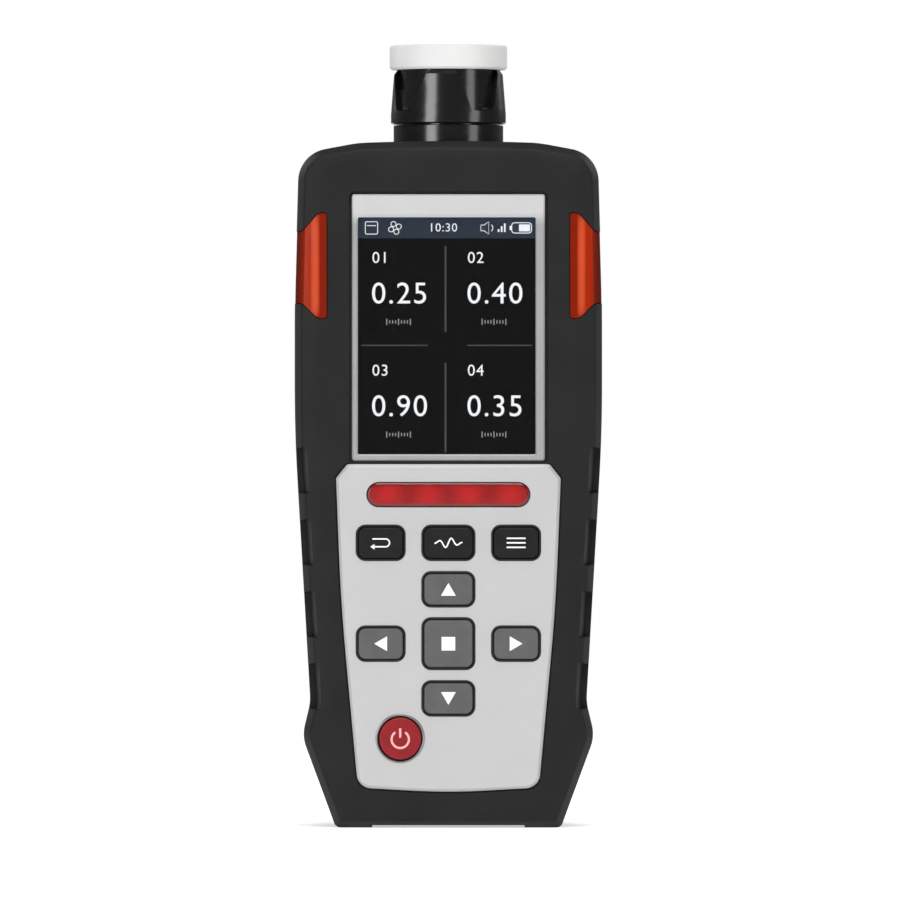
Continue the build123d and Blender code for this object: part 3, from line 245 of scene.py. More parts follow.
metalValues = {
    # grain runs along the axis whose stretch is small
    "spring_steel": dict(colour=rgb(0.6, 0.6, 0.6), rough=(0.22, 0.36), stretch=(1, 1, 1)),
    "backlight_metal": dict(colour=rgb(0.55, 0.56, 0.57), rough=(0.28, 0.4), stretch=(1, 1, 0.06)),
    "screw_steel": dict(colour=rgb(0.42, 0.42, 0.44), rough=(0.26, 0.4), stretch=(1, 1, 1)),
    "motor_metal": dict(colour=rgb(0.6, 0.6, 0.62), rough=(0.24, 0.36), stretch=(0.1, 1, 1)),
    "contact_nickel": dict(colour=rgb(0.72, 0.7, 0.64), rough=(0.12, 0.22), stretch=(1, 1, 1)),
    "insert_brass": dict(colour=rgb(0.72, 0.5, 0.2), rough=(0.2, 0.34), stretch=(1, 0.15, 1)),
    "vent_bronze": dict(colour=rgb(0.42, 0.27, 0.12), rough=(0.45, 0.6), stretch=(1, 1, 1)),
    "weight_metal": dict(colour=rgb(0.24, 0.24, 0.25), rough=(0.4, 0.55), stretch=(1, 1, 1)),
    "clip_steel": dict(colour=rgb(0.3, 0.3, 0.315), rough=(0.24, 0.4), stretch=(1, 1, 0.04)),
}


def metal(slot):
    v = metalValues[slot]
    f = Finish(slot, Metallic=1.0)
    brush = f.noise(0.00018, detail=3, stretch=v["stretch"])
    stain = f.noise(0.006, detail=4)
    scratch = f.noise(0.0006, detail=6, rough=0.7, stretch=v["stretch"]).between(0.56, 0.7)
    low, high = v["rough"]
    shade = tuple(c * 0.72 for c in v["colour"][:3]) + (1.0,)
    return f.feed(
        Base_Color=f.mix((brush * 0.6 + stain * 0.4).between(0.35, 0.65), shade, v["colour"]),
        Roughness=low + (high - low) * brush + scratch * 0.12,
        Normal=f.bump(brush + scratch * 0.3, 0.2, 0.000012))


barFlange = 0.8 * mm
# bright is the colour of the painted glow over the lamps and of the painted highlight; rim is the darker edge
barLensValues = dict(rim=rgb(0.12, 0.002, 0.004), deep=rgb(0.24, 0.006, 0.007), bright=rgb(0.43, 0.011, 0.01),
                     rimWidth=0.55 * mm, lamps=4)


def barLens(slot):
    # a red lens, darker along its rim, with painted glow over each of its unlit lamps and a painted highlight along
    # its middle
    v = barLensValues
    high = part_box("light_bar")[1]
    ledLow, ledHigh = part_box("bar_leds")
    pitch = (ledHigh.x - ledLow.x - (ledHigh.z - ledLow.z) * 1.55) / (v["lamps"] - 1)
    lensLow, lensHigh = barOutline()
    radius = (lensHigh - lensLow) / 2
    f = Finish(slot, Transmission_Weight=0.08, IOR=1.5, Coat_Weight=0.3, Coat_Roughness=0.08)
    x, z = f.axis("X"), f.axis("Z") - (lensHigh + lensLow) / 2
    past = (x.math("ABSOLUTE") - (high.x - barFlange - radius)).math("MAXIMUM", 0.0)
    fromSpine = (past * past + z * z).math("SQRT")
    rim = fromSpine.between(radius - v["rimWidth"] * 1.3, radius - v["rimWidth"])
    # painted glow: the lens is brighter over each lamp, though no lamp is lit
    wave = (x * (2 * math.pi / pitch)).math("COSINE") * -0.5 + 0.5
    # painted highlight along the middle of the lens's height
    paintedHighlight = 1.0 - (z.math("ABSOLUTE") / radius).math("POWER", 2.0)
    flow = f.noise(0.0035, detail=3)
    # the painted glow and highlight, evened out by random flow
    paintedLight = (wave * paintedHighlight * 0.75 + flow * 0.5).between(0.15, 0.95)
    body = f.mix(paintedLight, v["deep"], v["bright"])
    return f.feed(
        Base_Color=f.mix(rim, body, v["rim"]),
        Roughness=0.16 + flow * 0.1,
        Normal=f.bump(paintedHighlight * 0.5 + flow * 0.2 - rim * 0.4, 0.35, 0.0002))


# edge is the colour of the painted shade; warm and bright are painted light: a lighter band and a highlight
alarmLensValues = dict(
    edge=rgb(0.055, 0.006, 0.003), deep=rgb(0.2, 0.012, 0.003), warm=rgb(0.33, 0.02, 0.002),
    bright=rgb(0.58, 0.075, 0.026), highlightAt=0.36, highlightWidth=0.15, warmEnd=0.66, sideStart=0.76)


def alarmLens(slot):
    # painted highlight: a bright bar down the middle of the lens beside a painted lighter band; painted shade
    # darkens its top and bottom ends, its outer side and the faces that turn back from the front
    v = alarmLensValues
    low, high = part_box("alarm_light_right")
    f = Finish(slot, Transmission_Weight=0.06, Specular_IOR_Level=0.05, Coat_Weight=0.02, Coat_Roughness=0.12)
    across = (f.axis("X").math("ABSOLUTE") - low.x) / (high.x - low.x)
    along = (f.axis("Z") - (low.z + high.z) / 2).math("ABSOLUTE") / ((high.z - low.z) / 2)
    # painted highlight: a bright bar down the lens, partway across it
    away = (across - v["highlightAt"]).math("ABSOLUTE") / v["highlightWidth"]
    # the painted light fades to nothing at the top and bottom ends, so the ends fall dark as painted shade
    paintedEndFade = 1.0 - along.math("POWER", 8.0)
    paintedHighlight = (1.0 - away * away).math("MAXIMUM", 0.0) * paintedEndFade
    # painted lighter band, from the highlight out towards the outer side
    paintedWarmBand = across.between(v["highlightAt"] - 0.12, v["highlightAt"])
    paintedWarmBand = paintedWarmBand * (1.0 - across.between(v["warmEnd"], v["sideStart"]))
    # painted shade on the lens's outer side, and on the faces that turn back from the front
    paintedSideShade = across.between(v["sideStart"], v["sideStart"] + 0.12)
    front = f.axis("Y").between(low.y + 1.5 * mm, low.y + 5.5 * mm)
    flutes = (f.axis("Z") * (2 * math.pi / (0.85 * mm))).math("SINE") * 0.5 + 0.5
    flow = f.noise(0.003, detail=3, stretch=(1, 1, 0.3))
    # painted light: the lighter band over the deep red, then the highlight over that
    paintedLight = f.mix(paintedWarmBand * paintedEndFade * (0.75 + flow * 0.4), v["deep"], v["warm"])
    body = f.mix(paintedHighlight * (0.7 + flow * 0.4), paintedLight, v["bright"])
    return f.feed(
        Base_Color=f.mix((paintedSideShade * 0.55 + front * 0.25).between(0.0, 1.0), body, v["edge"]),
        Roughness=0.2 + flow * 0.1,
        Normal=f.bump(paintedHighlight * 0.6 + flutes * 0.08, 0.25, 0.0003))


def barOutline():
    # the lens's own lower and upper edge: the flange behind it stands this much wider
    low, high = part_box("light_bar")
    return low.z + barFlange, high.z - barFlange


clearValues = dict(smearSize=0.01, clean=0.015, smeared=0.045)


def clearLens(slot):
    v = clearValues
    f = Finish(slot, Base_Color=rgb(1.0), Transmission_Weight=1.0, IOR=1.47, Specular_IOR_Level=0.25)
    smear = f.noise(v["smearSize"], detail=5, stretch=(1, 1, 0.5)).between(0.5, 0.75)
    return f.feed(Roughness=v["clean"] + smear * (v["smeared"] - v["clean"]))


dotPitch = 0.18 * mm
glassValues = dict(gap=rgb(0.001), dot=rgb(0.0026), rough=(0.32, 0.4), haze=0.02)


def displayGlass(slot):
    v = glassValues
    f = Finish(slot, Specular_IOR_Level=0.04)
    # the dot matrix: faint rows and columns a third of a dot wide
    across = (f.axis("X") / dotPitch).math("FRACT").between(0.1, 0.3)
    along = (f.axis("Z") / dotPitch).math("FRACT").between(0.1, 0.3)
    haze = f.noise(v["haze"], detail=2)
    low, high = v["rough"]
    return f.feed(
        Base_Color=f.mix(across * along * (0.7 + haze * 0.3), v["gap"], v["dot"]),
        Roughness=low + (high - low) * haze)


inletValues = dict(dark=rgb(0.0036, 0.0036, 0.004), light=rgb(0.007, 0.007, 0.0075), rough=(0.17, 0.24))


def polishedBlack(slot):
    v = inletValues
    f = Finish(slot, Coat_Weight=0.4, Coat_Roughness=0.14)
    swirl = f.noise(0.004, detail=3, stretch=(1, 1, 3))
    rub = f.noise(0.0007, detail=6, rough=0.65, stretch=(0.4, 0.4, 2)).between(0.52, 0.72)
    low, high = v["rough"]
    return f.feed(
        Base_Color=f.mix(swirl, v["dark"], v["light"]),
        Roughness=low + (high - low) * swirl + rub * 0.1,
        Normal=f.bump(swirl * 0.6 + rub * 0.2, 0.1, 0.00004))


capValues = dict(clean=rgb(0.66, 0.66, 0.657), soiled=rgb(0.59, 0.586, 0.572), bead=0.35 * mm)


def sinteredWhite(slot):
    v = capValues
    f = Finish(slot, Subsurface_Weight=0.15, Subsurface_Scale=0.001)
    beads = f.cells(v["bead"], out="Distance")
    fine = f.noise(0.0002, detail=3)
    soil = f.noise(0.007, detail=4).between(0.45, 0.75)
    return f.feed(
        Base_Color=f.mix(soil * 0.5 + beads * 0.3, v["clean"], v["soiled"]),
        Roughness=0.72 + fine * 0.16,
        Normal=f.bump(beads * 0.7 + fine * 0.3, 0.35, 0.00005))


boardValues = dict(mask=rgb(0.006, 0.06, 0.02), track=rgb(0.014, 0.12, 0.04), pad=rgb(0.6, 0.5, 0.25),
                   trackGrid=12 * mm, padPitch=3.5 * mm)


def circuitBoard(slot):
    v = boardValues
    f = Finish(slot, Coat_Weight=0.4, Coat_Roughness=0.15)
    place = f.place()
    tracks = f.node("ShaderNodeTexBrick", {"offset": 0.35, "squash": 1.0}, {
        "Vector": place, "Scale": 1 / v["trackGrid"], "Mortar Size": 0.03, "Brick Width": 0.4,
        "Row Height": 0.12}, out="Fac")
    weave = f.noise(0.0005, detail=2)
    via = f.cells(v["padPitch"], out="Distance").between(0.16, 0.1)
    green = f.mix(tracks * 0.6 + weave * 0.2, v["mask"], v["track"])
    return f.feed(
        Base_Color=f.mix(via, green, v["pad"]),
        Metallic=via * 0.9,
        Roughness=0.3 + weave * 0.15,
        Normal=f.bump(tracks * 0.8 + via * 0.2, 0.2, 0.00004))


def printedInk(name, colour, rough=0.5):
    f = Finish(name)
    wear = f.noise(0.0006, detail=3)
    worn = tuple(c * 0.86 for c in colour[:3]) + (1.0,)
    return f.feed(
        Base_Color=f.mix(wear.between(0.4, 0.8), colour, worn),
        Roughness=rough + wear * 0.15,
        Normal=f.bump(wear, 0.1, 0.00001))


def litDots(name, colour, strength):
    # lit dots: the light is a little uneven from row to row
    f = Finish(name, Base_Color=rgb(0.01), Emission_Strength=strength)
    ripple = (f.axis("Z") / dotPitch).math("FRACT").between(0.0, 0.25)
    dimmed = tuple(c * 0.82 for c in colour[:3]) + (1.0,)
    patch = f.noise(0.008)
    return f.feed(
        Emission_Color=f.mix(ripple * (0.8 + patch * 0.4), dimmed, colour),
        Roughness=0.3 + patch * 0.1)


makers = {slot: moulded for slot in mouldedValues}
makers.update({slot: lacquered for slot in lacquerValues})
makers.update({slot: metal for slot in metalValues})
makers.update({"bar_red": barLens, "alarm_orange": alarmLens, "clear_lens": clearLens, "lcd_glass": displayGlass,
               "inlet_black": polishedBlack, "cap_white": sinteredWhite, "board_green": circuitBoard})
finishes = {slot: maker(slot) for slot, maker in makers.items()}
print("finishes made:", len(finishes))


# Pieces made from the frame's own shapes

def settle(piece, body, slot, *nodes):
    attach(piece, body)
    if nodes:
        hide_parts(*nodes)
    return piece


def newPiece(name, mesh, material=None):
    piece = bpy.data.objects.new(name, mesh)
    bpy.context.collection.objects.link(piece)
    if material:
        mesh.materials.clear()
        mesh.materials.append(material)
    return piece


def plainMesh(piece):
    # the evaluated result as a mesh of its own, with the modifiers gone
    bpy.context.view_layer.update()
    shaped = piece.evaluated_get(bpy.context.evaluated_depsgraph_get())
    mesh = bpy.data.meshes.new_from_object(shaped)
    piece.modifiers.clear()
    old = piece.data
    if piece.type == "MESH":
        piece.data = mesh
        bpy.data.meshes.remove(old)
    return mesh


def refined(node, sharpAngle=28.0):
    # a merged copy of a node, smooth across its roundings and crisp at its edges
    mesh = frame["nodes"][node].data.copy()
    work = bmesh.new()
    work.from_mesh(mesh)
    bmesh.ops.remove_doubles(work, verts=work.verts, dist=0.002 * mm)
    bmesh.ops.dissolve_degenerate(work, dist=0.0005 * mm, edges=work.edges)
    for face in work.faces:
        face.smooth = True
    for edge in work.edges:
        edge.smooth = len(edge.link_faces) == 2 and edge.calc_face_angle(0.0) < math.radians(sharpAngle)
    work.to_mesh(mesh)
    work.free()
    slot = slotOf[node]
    piece = newPiece(node + "_skin", mesh, finishes[slot])
    weigh = piece.modifiers.new("weigh", "WEIGHTED_NORMAL")
    weigh.keep_sharp, weigh.weight = True, 80
    plainMesh(piece)
    return settle(piece, bodyOf[node], slot, node)


outerNodes = ["rubber_boot", "display_frame", "display_lens", "lcd_glass", "keypad_panel", "keypad_mat", "light_bar",
              "alarm_light_left", "alarm_light_right", "inlet_neck", "retaining_ring", "filter_cap", "filter_disc",
              "rear_case", "battery_door", "battery_tray", "battery_cells", "door_screw_low", "door_screw_high",
              "belt_clip", "clip_screws", "tripod_insert", "exhaust_vent", "port_flap", "flap_pin", "port_socket"]
outerNodes += [node for node in frame["nodes"] if node.startswith("key_") and bodyOf[node] == node]
skins = {node: refined(node) for node in outerNodes}
for node, shape in frame["nodes"].items():
    if node not in skins:
        shape.data.materials.clear()
        shape.data.materials.append(finishes[slotOf[node]])
print("skins made:", len(skins))


# Repeated and swept shapes, each grown by a Geometry Nodes tree with named inputs

class Growth:
    def __init__(self, name, **inputs):
        self.tree = bpy.data.node_groups.new(name, "GeometryNodeTree")
        face = self.tree.interface
        kinds = {int: "NodeSocketInt", float: "NodeSocketFloat", tuple: "NodeSocketVector"}
        face.new_socket("Base", in_out="INPUT", socket_type="NodeSocketGeometry")
        self.keys = {key: face.new_socket(key, in_out="INPUT", socket_type=kinds[type(value)]).identifier
                     for key, value in inputs.items()}
        self.finish = face.new_socket("finish", in_out="INPUT", socket_type="NodeSocketMaterial").identifier
        face.new_socket("Result", in_out="OUTPUT", socket_type="NodeSocketGeometry")
        self.inputs = inputs
        self.start = self.tree.nodes.new("NodeGroupInput")

    def given(self, key):
        return Value(self.tree, self.start.outputs[key])

    node = Finish.node

    def vector(self, x=0.0, y=0.0, z=0.0):
        return self.node("ShaderNodeCombineXYZ", inputs={"X": x, "Y": y, "Z": z})

    def moved(self, geometry, translation=(0, 0, 0), rotation=(0, 0, 0)):
        return self.node("GeometryNodeTransform", inputs={
            "Geometry": geometry, "Translation": translation, "Rotation": rotation})

    def scattered(self, points, shape, scale=(1, 1, 1)):
        return self.node("GeometryNodeInstanceOnPoints", inputs={
            "Points": points, "Instance": shape, "Scale": scale})

    def grown(self, result, name, body, slot, material=None, base=None):
        # the tree's end, then its result as a plain mesh on one body
        real = self.node("GeometryNodeRealizeInstances", inputs={"Geometry": result})
        coated = self.node("GeometryNodeSetMaterial", inputs={"Geometry": real, "Material": self.given("finish")})
        end = self.tree.nodes.new("NodeGroupOutput")
        self.tree.links.new(coated.socket, end.inputs["Result"])
        piece = newPiece(name, base or bpy.data.meshes.new(name))
        modifier = piece.modifiers.new("grow", "NODES")
        modifier.node_group = self.tree
        for key, identifier in self.keys.items():
            modifier[identifier] = self.inputs[key]
        modifier[self.finish] = material or finishes[slot]
        mesh = plainMesh(piece)
        work = bmesh.new()
        work.from_mesh(mesh)
        bmesh.ops.recalc_face_normals(work, faces=work.faces)
        work.to_mesh(mesh)
        work.free()
        return settle(piece, body, slot)


threadValues = dict(turns=2.7, crest=11.2 * mm, depth=0.4 * mm, rise=5.4 * mm, footGap=1.9 * mm)


def inletThread():
    # the helical thread that the ring screws down on, below the filter disc
    v = threadValues
    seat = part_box("retaining_ring")[0].z
    neckLow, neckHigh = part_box("inlet_neck")
    aside, back = (neckLow.x + neckHigh.x) / 2, (neckLow.y + neckHigh.y) / 2
    g = Growth("threadTree", turns=v["turns"], radius=v["crest"] - v["depth"], rise=v["rise"], depth=v["depth"])
    run = g.node("GeometryNodeCurveSpiral", inputs={
        "Resolution": 64, "Rotations": g.given("turns"), "Start Radius": g.given("radius"),
        "End Radius": g.given("radius"), "Height": g.given("rise")})
    section = g.node("GeometryNodeCurvePrimitiveCircle", inputs={"Resolution": 4, "Radius": g.given("depth")})
    thread = g.node("GeometryNodeCurveToMesh", inputs={
        "Curve": run, "Profile Curve": section, "Fill Caps": True})
    thread = g.moved(thread, (aside, back, seat + v["footGap"]))
    g.grown(thread, "inletThread", bodyOf["inlet_neck"], "inlet_black")


meshValues = dict(wires=30, pitch=0.36 * mm, wire=0.11 * mm, sunk=1.7 * mm)


def sounderMesh():
    # dust mesh set in the wall behind the sounder's holes
    v = meshValues
    low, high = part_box("buzzer")
    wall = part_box("rear_case")[1].y - v["sunk"]
    reach = v["pitch"] * v["wires"]
    g = Growth("meshTree", wires=v["wires"], pitch=v["pitch"], wire=v["wire"], reach=reach)
    wires = []
    for turn in (0, 90):
        row = g.node("GeometryNodeMeshLine", inputs={
            "Count": g.given("wires"), "Start Location": g.vector(z=g.given("reach") * -0.5),
            "Offset": g.vector(z=g.given("pitch"))})
        strand = g.node("GeometryNodeMeshCube", inputs={
            "Size": g.vector(g.given("reach"), g.given("wire"), g.given("wire"))})
        wires.append(g.moved(g.scattered(row, strand), rotation=(0, math.radians(turn), 0)))
    both = g.tree.nodes.new("GeometryNodeJoinGeometry")
    for half in wires:
        g.tree.links.new(half.socket, both.inputs[0])
    place = ((low.x + high.x) / 2, wall, (low.z + high.z) / 2)
    g.grown(g.moved(Value(g.tree, both.outputs[0]), place), "sounderMesh", bodyOf["buzzer"], "weight_metal")


legValues = dict(pitch=0.9 * mm, leg=(0.9 * mm, 0.3 * mm, 0.34 * mm), smallest=3.0 * mm)


def islandBoxes(node):
    # the box of each loose body in a node
    work = bmesh.new()
    work.from_mesh(frame["nodes"][node].data)
    bmesh.ops.remove_doubles(work, verts=work.verts, dist=0.002 * mm)
    left, boxes = set(work.verts), []
    while left:
        queue = [left.pop()]
        found = []
        while queue:
            vert = queue.pop()
            found.append(vert.co.copy())
            for edge in vert.link_edges:
                other = edge.other_vert(vert)
                if other in left:
                    left.remove(other)
                    queue.append(other)
        boxes.append([Vector([pick(co[i] for co in found) for i in range(3)]) for pick in (min, max)])
    work.free()
    return boxes


def chipLegs():
    # rows of soldered legs down both sides of each larger chip
    v = legValues
    boardLow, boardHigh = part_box("main_board")
    points, edges = [], []
    for low, high in islandBoxes("board_chips"):
        if min(high.x - low.x, high.z - low.z) < v["smallest"]:
            continue
        behind = low.y >= boardHigh.y - 0.1 * mm
        face = boardHigh.y + v["leg"][1] / 2 if behind else boardLow.y - v["leg"][1] / 2
        for x in (low.x - v["leg"][0] * 0.3, high.x + v["leg"][0] * 0.3):
            edges.append((len(points), len(points) + 1))
            points += [(x, face, low.z + 0.5 * mm), (x, face, high.z - 0.5 * mm)]
    base = bpy.data.meshes.new("legLines")
    base.from_pydata(points, edges, [])
    g = Growth("legTree", pitch=v["pitch"], leg=v["leg"])
    line = g.node("GeometryNodeMeshToCurve", inputs={"Mesh": g.given("Base")})
    spots = g.node("GeometryNodeResampleCurve", {"mode": "LENGTH"}, {"Curve": line, "Length": g.given("pitch")})
    leg = g.node("GeometryNodeMeshCube", inputs={"Size": g.given("leg")})
    g.grown(g.scattered(spots, leg), "chipLegs", bodyOf["board_chips"], "contact_nickel", base=base)


inletThread()
sounderMesh()
chipLegs()
print("thread, mesh and legs grown")


# Flat graphics, drawn in millimetres on a face that looks forwards

class Graphic:
    def __init__(self, x, z, y, thick=0.03):
        self.x, self.z, self.y, self.thick = x, z, y, thick * mm
        self.work = bmesh.new()

    def take(self, curve, flatten):
        # a curve's mesh is stood up to face forwards, and pressed to the print's thickness
        holder = bpy.data.objects.new("holder", curve)
        bpy.context.collection.objects.link(holder)
        mesh = plainMesh(holder)
        bpy.data.objects.remove(holder)
        bpy.data.curves.remove(curve)
        depth = max((abs(v.co.z) for v in mesh.vertices), default=0) or 1
        squeeze = self.thick / depth if flatten else 1
        for v in mesh.vertices:
            x, up, out = v.co
            v.co = (self.x + x, self.y - out * squeeze, self.z + up)
        self.work.from_mesh(mesh)
        bpy.data.meshes.remove(mesh)

    def line(self, points, width, closed=False):
        curve = bpy.data.curves.new("line", "CURVE")
        curve.dimensions, curve.bevel_depth, curve.bevel_resolution = "3D", width / 2 * mm, 2
        curve.use_fill_caps = True
        run = curve.splines.new("POLY")
        run.points.add(len(points) - 1)
        for point, (x, z) in zip(run.points, points):
            point.co = (x * mm, z * mm, 0, 1)
        run.use_cyclic_u = closed
        self.take(curve, True)
        return self

    def arc(self, x, z, radius, start, end, width, steps=28):
        turns = [math.radians(start + (end - start) * i / steps) for i in range(steps + 1)]
        points = [(x + radius * math.cos(a), z + radius * math.sin(a)) for a in turns]
        whole = abs(end - start) >= 360
        return self.line(points[:-1] if whole else points, width, whole)

    def shape(self, points):
        front = [self.work.verts.new((self.x + x * mm, self.y - self.thick, self.z + z * mm)) for x, z in points]
        back = [self.work.verts.new((self.x + x * mm, self.y, self.z + z * mm)) for x, z in points]
        self.work.faces.new(front)
        self.work.faces.new(back[::-1])
        for i in range(len(points)):
            self.work.faces.new((front[i - 1], back[i - 1], back[i], front[i]))
        return self

    def box(self, x, z, width, height, corner=0.0):
        return self.shape(roundedCorners(x, z, width, height, corner))

    def text(self, words, x, z, size, align="LEFT", spacing=1.1):
        curve = bpy.data.curves.new("text", "FONT")
        curve.body, curve.size, curve.align_x, curve.align_y = words, size * mm, align, "CENTER"
        curve.extrude, curve.resolution_u = self.thick / 2, 4
        curve.space_character = spacing
        holder = bpy.data.objects.new("holder", curve)
        bpy.context.collection.objects.link(holder)
        mesh = plainMesh(holder)
        bpy.data.objects.remove(holder)
        bpy.data.curves.remove(curve)
        for v in mesh.vertices:
            v.co = (self.x + x * mm + v.co.x, self.y - v.co.z - self.thick / 2, self.z + z * mm + v.co.y)
        self.work.from_mesh(mesh)
        bpy.data.meshes.remove(mesh)
        return self

    def done(self, name, body, slot, material):
        bmesh.ops.recalc_face_normals(self.work, faces=self.work.faces)
        mesh = bpy.data.meshes.new(name)
        self.work.to_mesh(mesh)
        self.work.free()
        return settle(newPiece(name, mesh, material), body, slot)


def roundedCorners(x, z, width, height, corner, steps=6):
    if corner <= 0:
        return [(x - width / 2, z - height / 2), (x + width / 2, z - height / 2),
                (x + width / 2, z + height / 2), (x - width / 2, z + height / 2)]
    points = []
    for quarter, (sx, sz) in enumerate(((1, 1), (-1, 1), (-1, -1), (1, -1))):
        cx, cz = x + sx * (width / 2 - corner), z + sz * (height / 2 - corner)
        for i in range(steps + 1):
            a = math.radians(90 * quarter + 90 * i / steps)
            points.append((cx + corner * math.cos(a), cz + corner * math.sin(a)))
    return points


# Display picture: four readings, a status bar and the lines between the readings

displayValues = dict(
    readings=(("01", "0.25"), ("02", "0.40"), ("03", "0.90"), ("04", "0.35")),
    clock="10:30",
    labelSize=3.9, readingSize=7.4, barHeight=5.1,
    white=rgb(0.95, 0.97, 1.0), grey=rgb(0.3, 0.3, 0.31), blue=rgb(0.003, 0.014, 0.033),
    lineGrey=rgb(0.05, 0.05, 0.052),
)
glassLow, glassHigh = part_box("lcd_glass")
glassMargin = 0.4
screenWide = (glassHigh.x - glassLow.x) / mm - 2 * glassMargin
screenTall = (glassHigh.z - glassLow.z) / mm - 2 * glassMargin
screenMid = (glassLow + glassHigh) / 2
screenFace = glassLow.y


def screenGraphic(thick=0.03):
    # right and up from the screen's middle, in millimetres
    return Graphic(screenMid.x, screenMid.z, screenFace, thick)


def drawDisplay():
    v = displayValues
    top = screenTall / 2
    barZ = top - v["barHeight"] / 2
    bright, lines = screenGraphic(), screenGraphic()
    bar = screenGraphic(0.01).box(0, barZ, screenWide, v["barHeight"])
    bar.done("statusBar", "body", "lcd_glass", litDots("statusBlue", v["blue"], 1.0))
    for i, (label, reading) in enumerate(v["readings"]):
        left = -18.2 if i % 2 == 0 else 5.0
        down = 0 if i < 2 else 27.4
        bright.text(label, left, top - 9.9 - down, v["labelSize"])
        bright.text(reading, left - 0.2, top - 18.7 - down, v["readingSize"])
    for x, width in ((-12.7, 16.2), (12.9, 15.8)):
        lines.box(x, -2.3, width, 0.3)
    for z, height in ((11.4, 20.9), (-17.45, 21.7)):
        lines.box(-0.3, z, 0.42, height)
    bright.text(v["clock"], -0.9, barZ, 2.9, "CENTER")
    # saved record
    bright.line(roundedCorners(-18.3, barZ, 3.0, 3.0, 0.4), 0.22, True)
    bright.line([(-19.4, barZ + 0.55), (-17.2, barZ + 0.55)], 0.22)
    # fan
    for turn in range(4):
        a = math.radians(90 * turn + 20)
        bright.arc(-12.6 + 1.0 * math.cos(a), barZ + 1.0 * math.sin(a), 0.62, 0, 360, 0.22, 14)
    # sounder
    bright.line([(8.3, barZ - 0.7), (8.3, barZ + 0.7), (9.1, barZ + 0.7), (10.2, barZ + 1.5),
                 (10.2, barZ - 1.5), (9.1, barZ - 0.7)], 0.22, True)
    bright.arc(10.2, barZ, 1.0, -50, 50, 0.22, 10)
    # signal
    for step in range(3):
        bright.box(12.6 + step * 0.75, barZ - 1.0 + 0.35 * (step + 1), 0.4, 0.7 * (step + 1))
    # battery
    bright.line(roundedCorners(18.2, barZ, 4.8, 2.5, 0.7), 0.24, True)
    bright.box(18.9, barZ, 2.7, 1.7, 0.2)
    bright.box(15.5, barZ, 0.45, 1.0)
    bright.done("readingDigits", "body", "lcd_glass", litDots("litWhite", v["white"], 1.0))
    lines.done("screenLines", "body", "lcd_glass", litDots("litLine", v["lineGrey"], 1.0))


drawDisplay()


tickValues = dict(count=9, pitch=0.72 * mm, width=0.26 * mm, short=0.8 * mm, tall=1.5 * mm,
                  across=23.2 * mm, down=27.4 * mm, left=-14.6 * mm, drop=25.4 * mm)


def unitTicks():
    # a small scale under each reading, with every fourth tick taller
    v = tickValues
    thick = 0.03 * mm
    g = Growth("tickTree", count=v["count"], pitch=v["pitch"], width=v["width"], short=v["short"], tall=v["tall"],
               across=v["across"], down=v["down"])
    row = g.node("GeometryNodeMeshLine", inputs={"Count": g.given("count"), "Offset": g.vector(g.given("pitch"))})
    index = g.node("GeometryNodeInputIndex")
    longer = (index.math("MODULO", 4.0)).math("LESS_THAN", 0.5)
    height = g.given("short") + (g.given("tall") - g.given("short")) * longer
    tick = g.node("GeometryNodeMeshCube", inputs={"Size": g.vector(g.given("width"), thick, 1.0)})
    scale = g.scattered(row, tick, g.vector(1.0, 1.0, height))
    corners = g.node("GeometryNodeMeshGrid", inputs={
        "Size X": g.given("across"), "Size Y": g.given("down"), "Vertices X": 2, "Vertices Y": 2})
    spots = g.moved(corners, rotation=(math.radians(90), 0, 0))
    place = (screenMid.x + v["left"] + v["across"] / 2, screenFace - thick / 2,
             screenMid.z + (screenTall / 2) * mm - v["drop"] - v["down"] / 2)
    g.grown(g.moved(g.scattered(spots, scale), place), "unitTicks", "body", "lcd_glass",
            litDots("litGrey", displayValues["grey"], 1.0))


unitTicks()
print("display drawn")


# Legends on the keys

legendValues = dict(white=rgb(0.86), pink=rgb(0.8, 0.42, 0.42), stroke=0.36, arrowHalf=1.8, arrowTall=3.1,
                    square=3.3)
legendInk = printedInk("legendWhite", legendValues["white"])
powerInk = printedInk("legendPink", legendValues["pink"])


def legend(key):
    low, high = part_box(key)
    return Graphic((low.x + high.x) / 2, (low.z + high.z) / 2, low.y, 0.03)


def triangle(graphic, turn):
    a = math.radians(turn)
    half, tall = legendValues["arrowHalf"], legendValues["arrowTall"]
    corners = [(-half, -tall / 2), (half, -tall / 2), (0, tall / 2)]
    return graphic.shape([(x * math.cos(a) - z * math.sin(a), x * math.sin(a) + z * math.cos(a))
                          for x, z in corners])


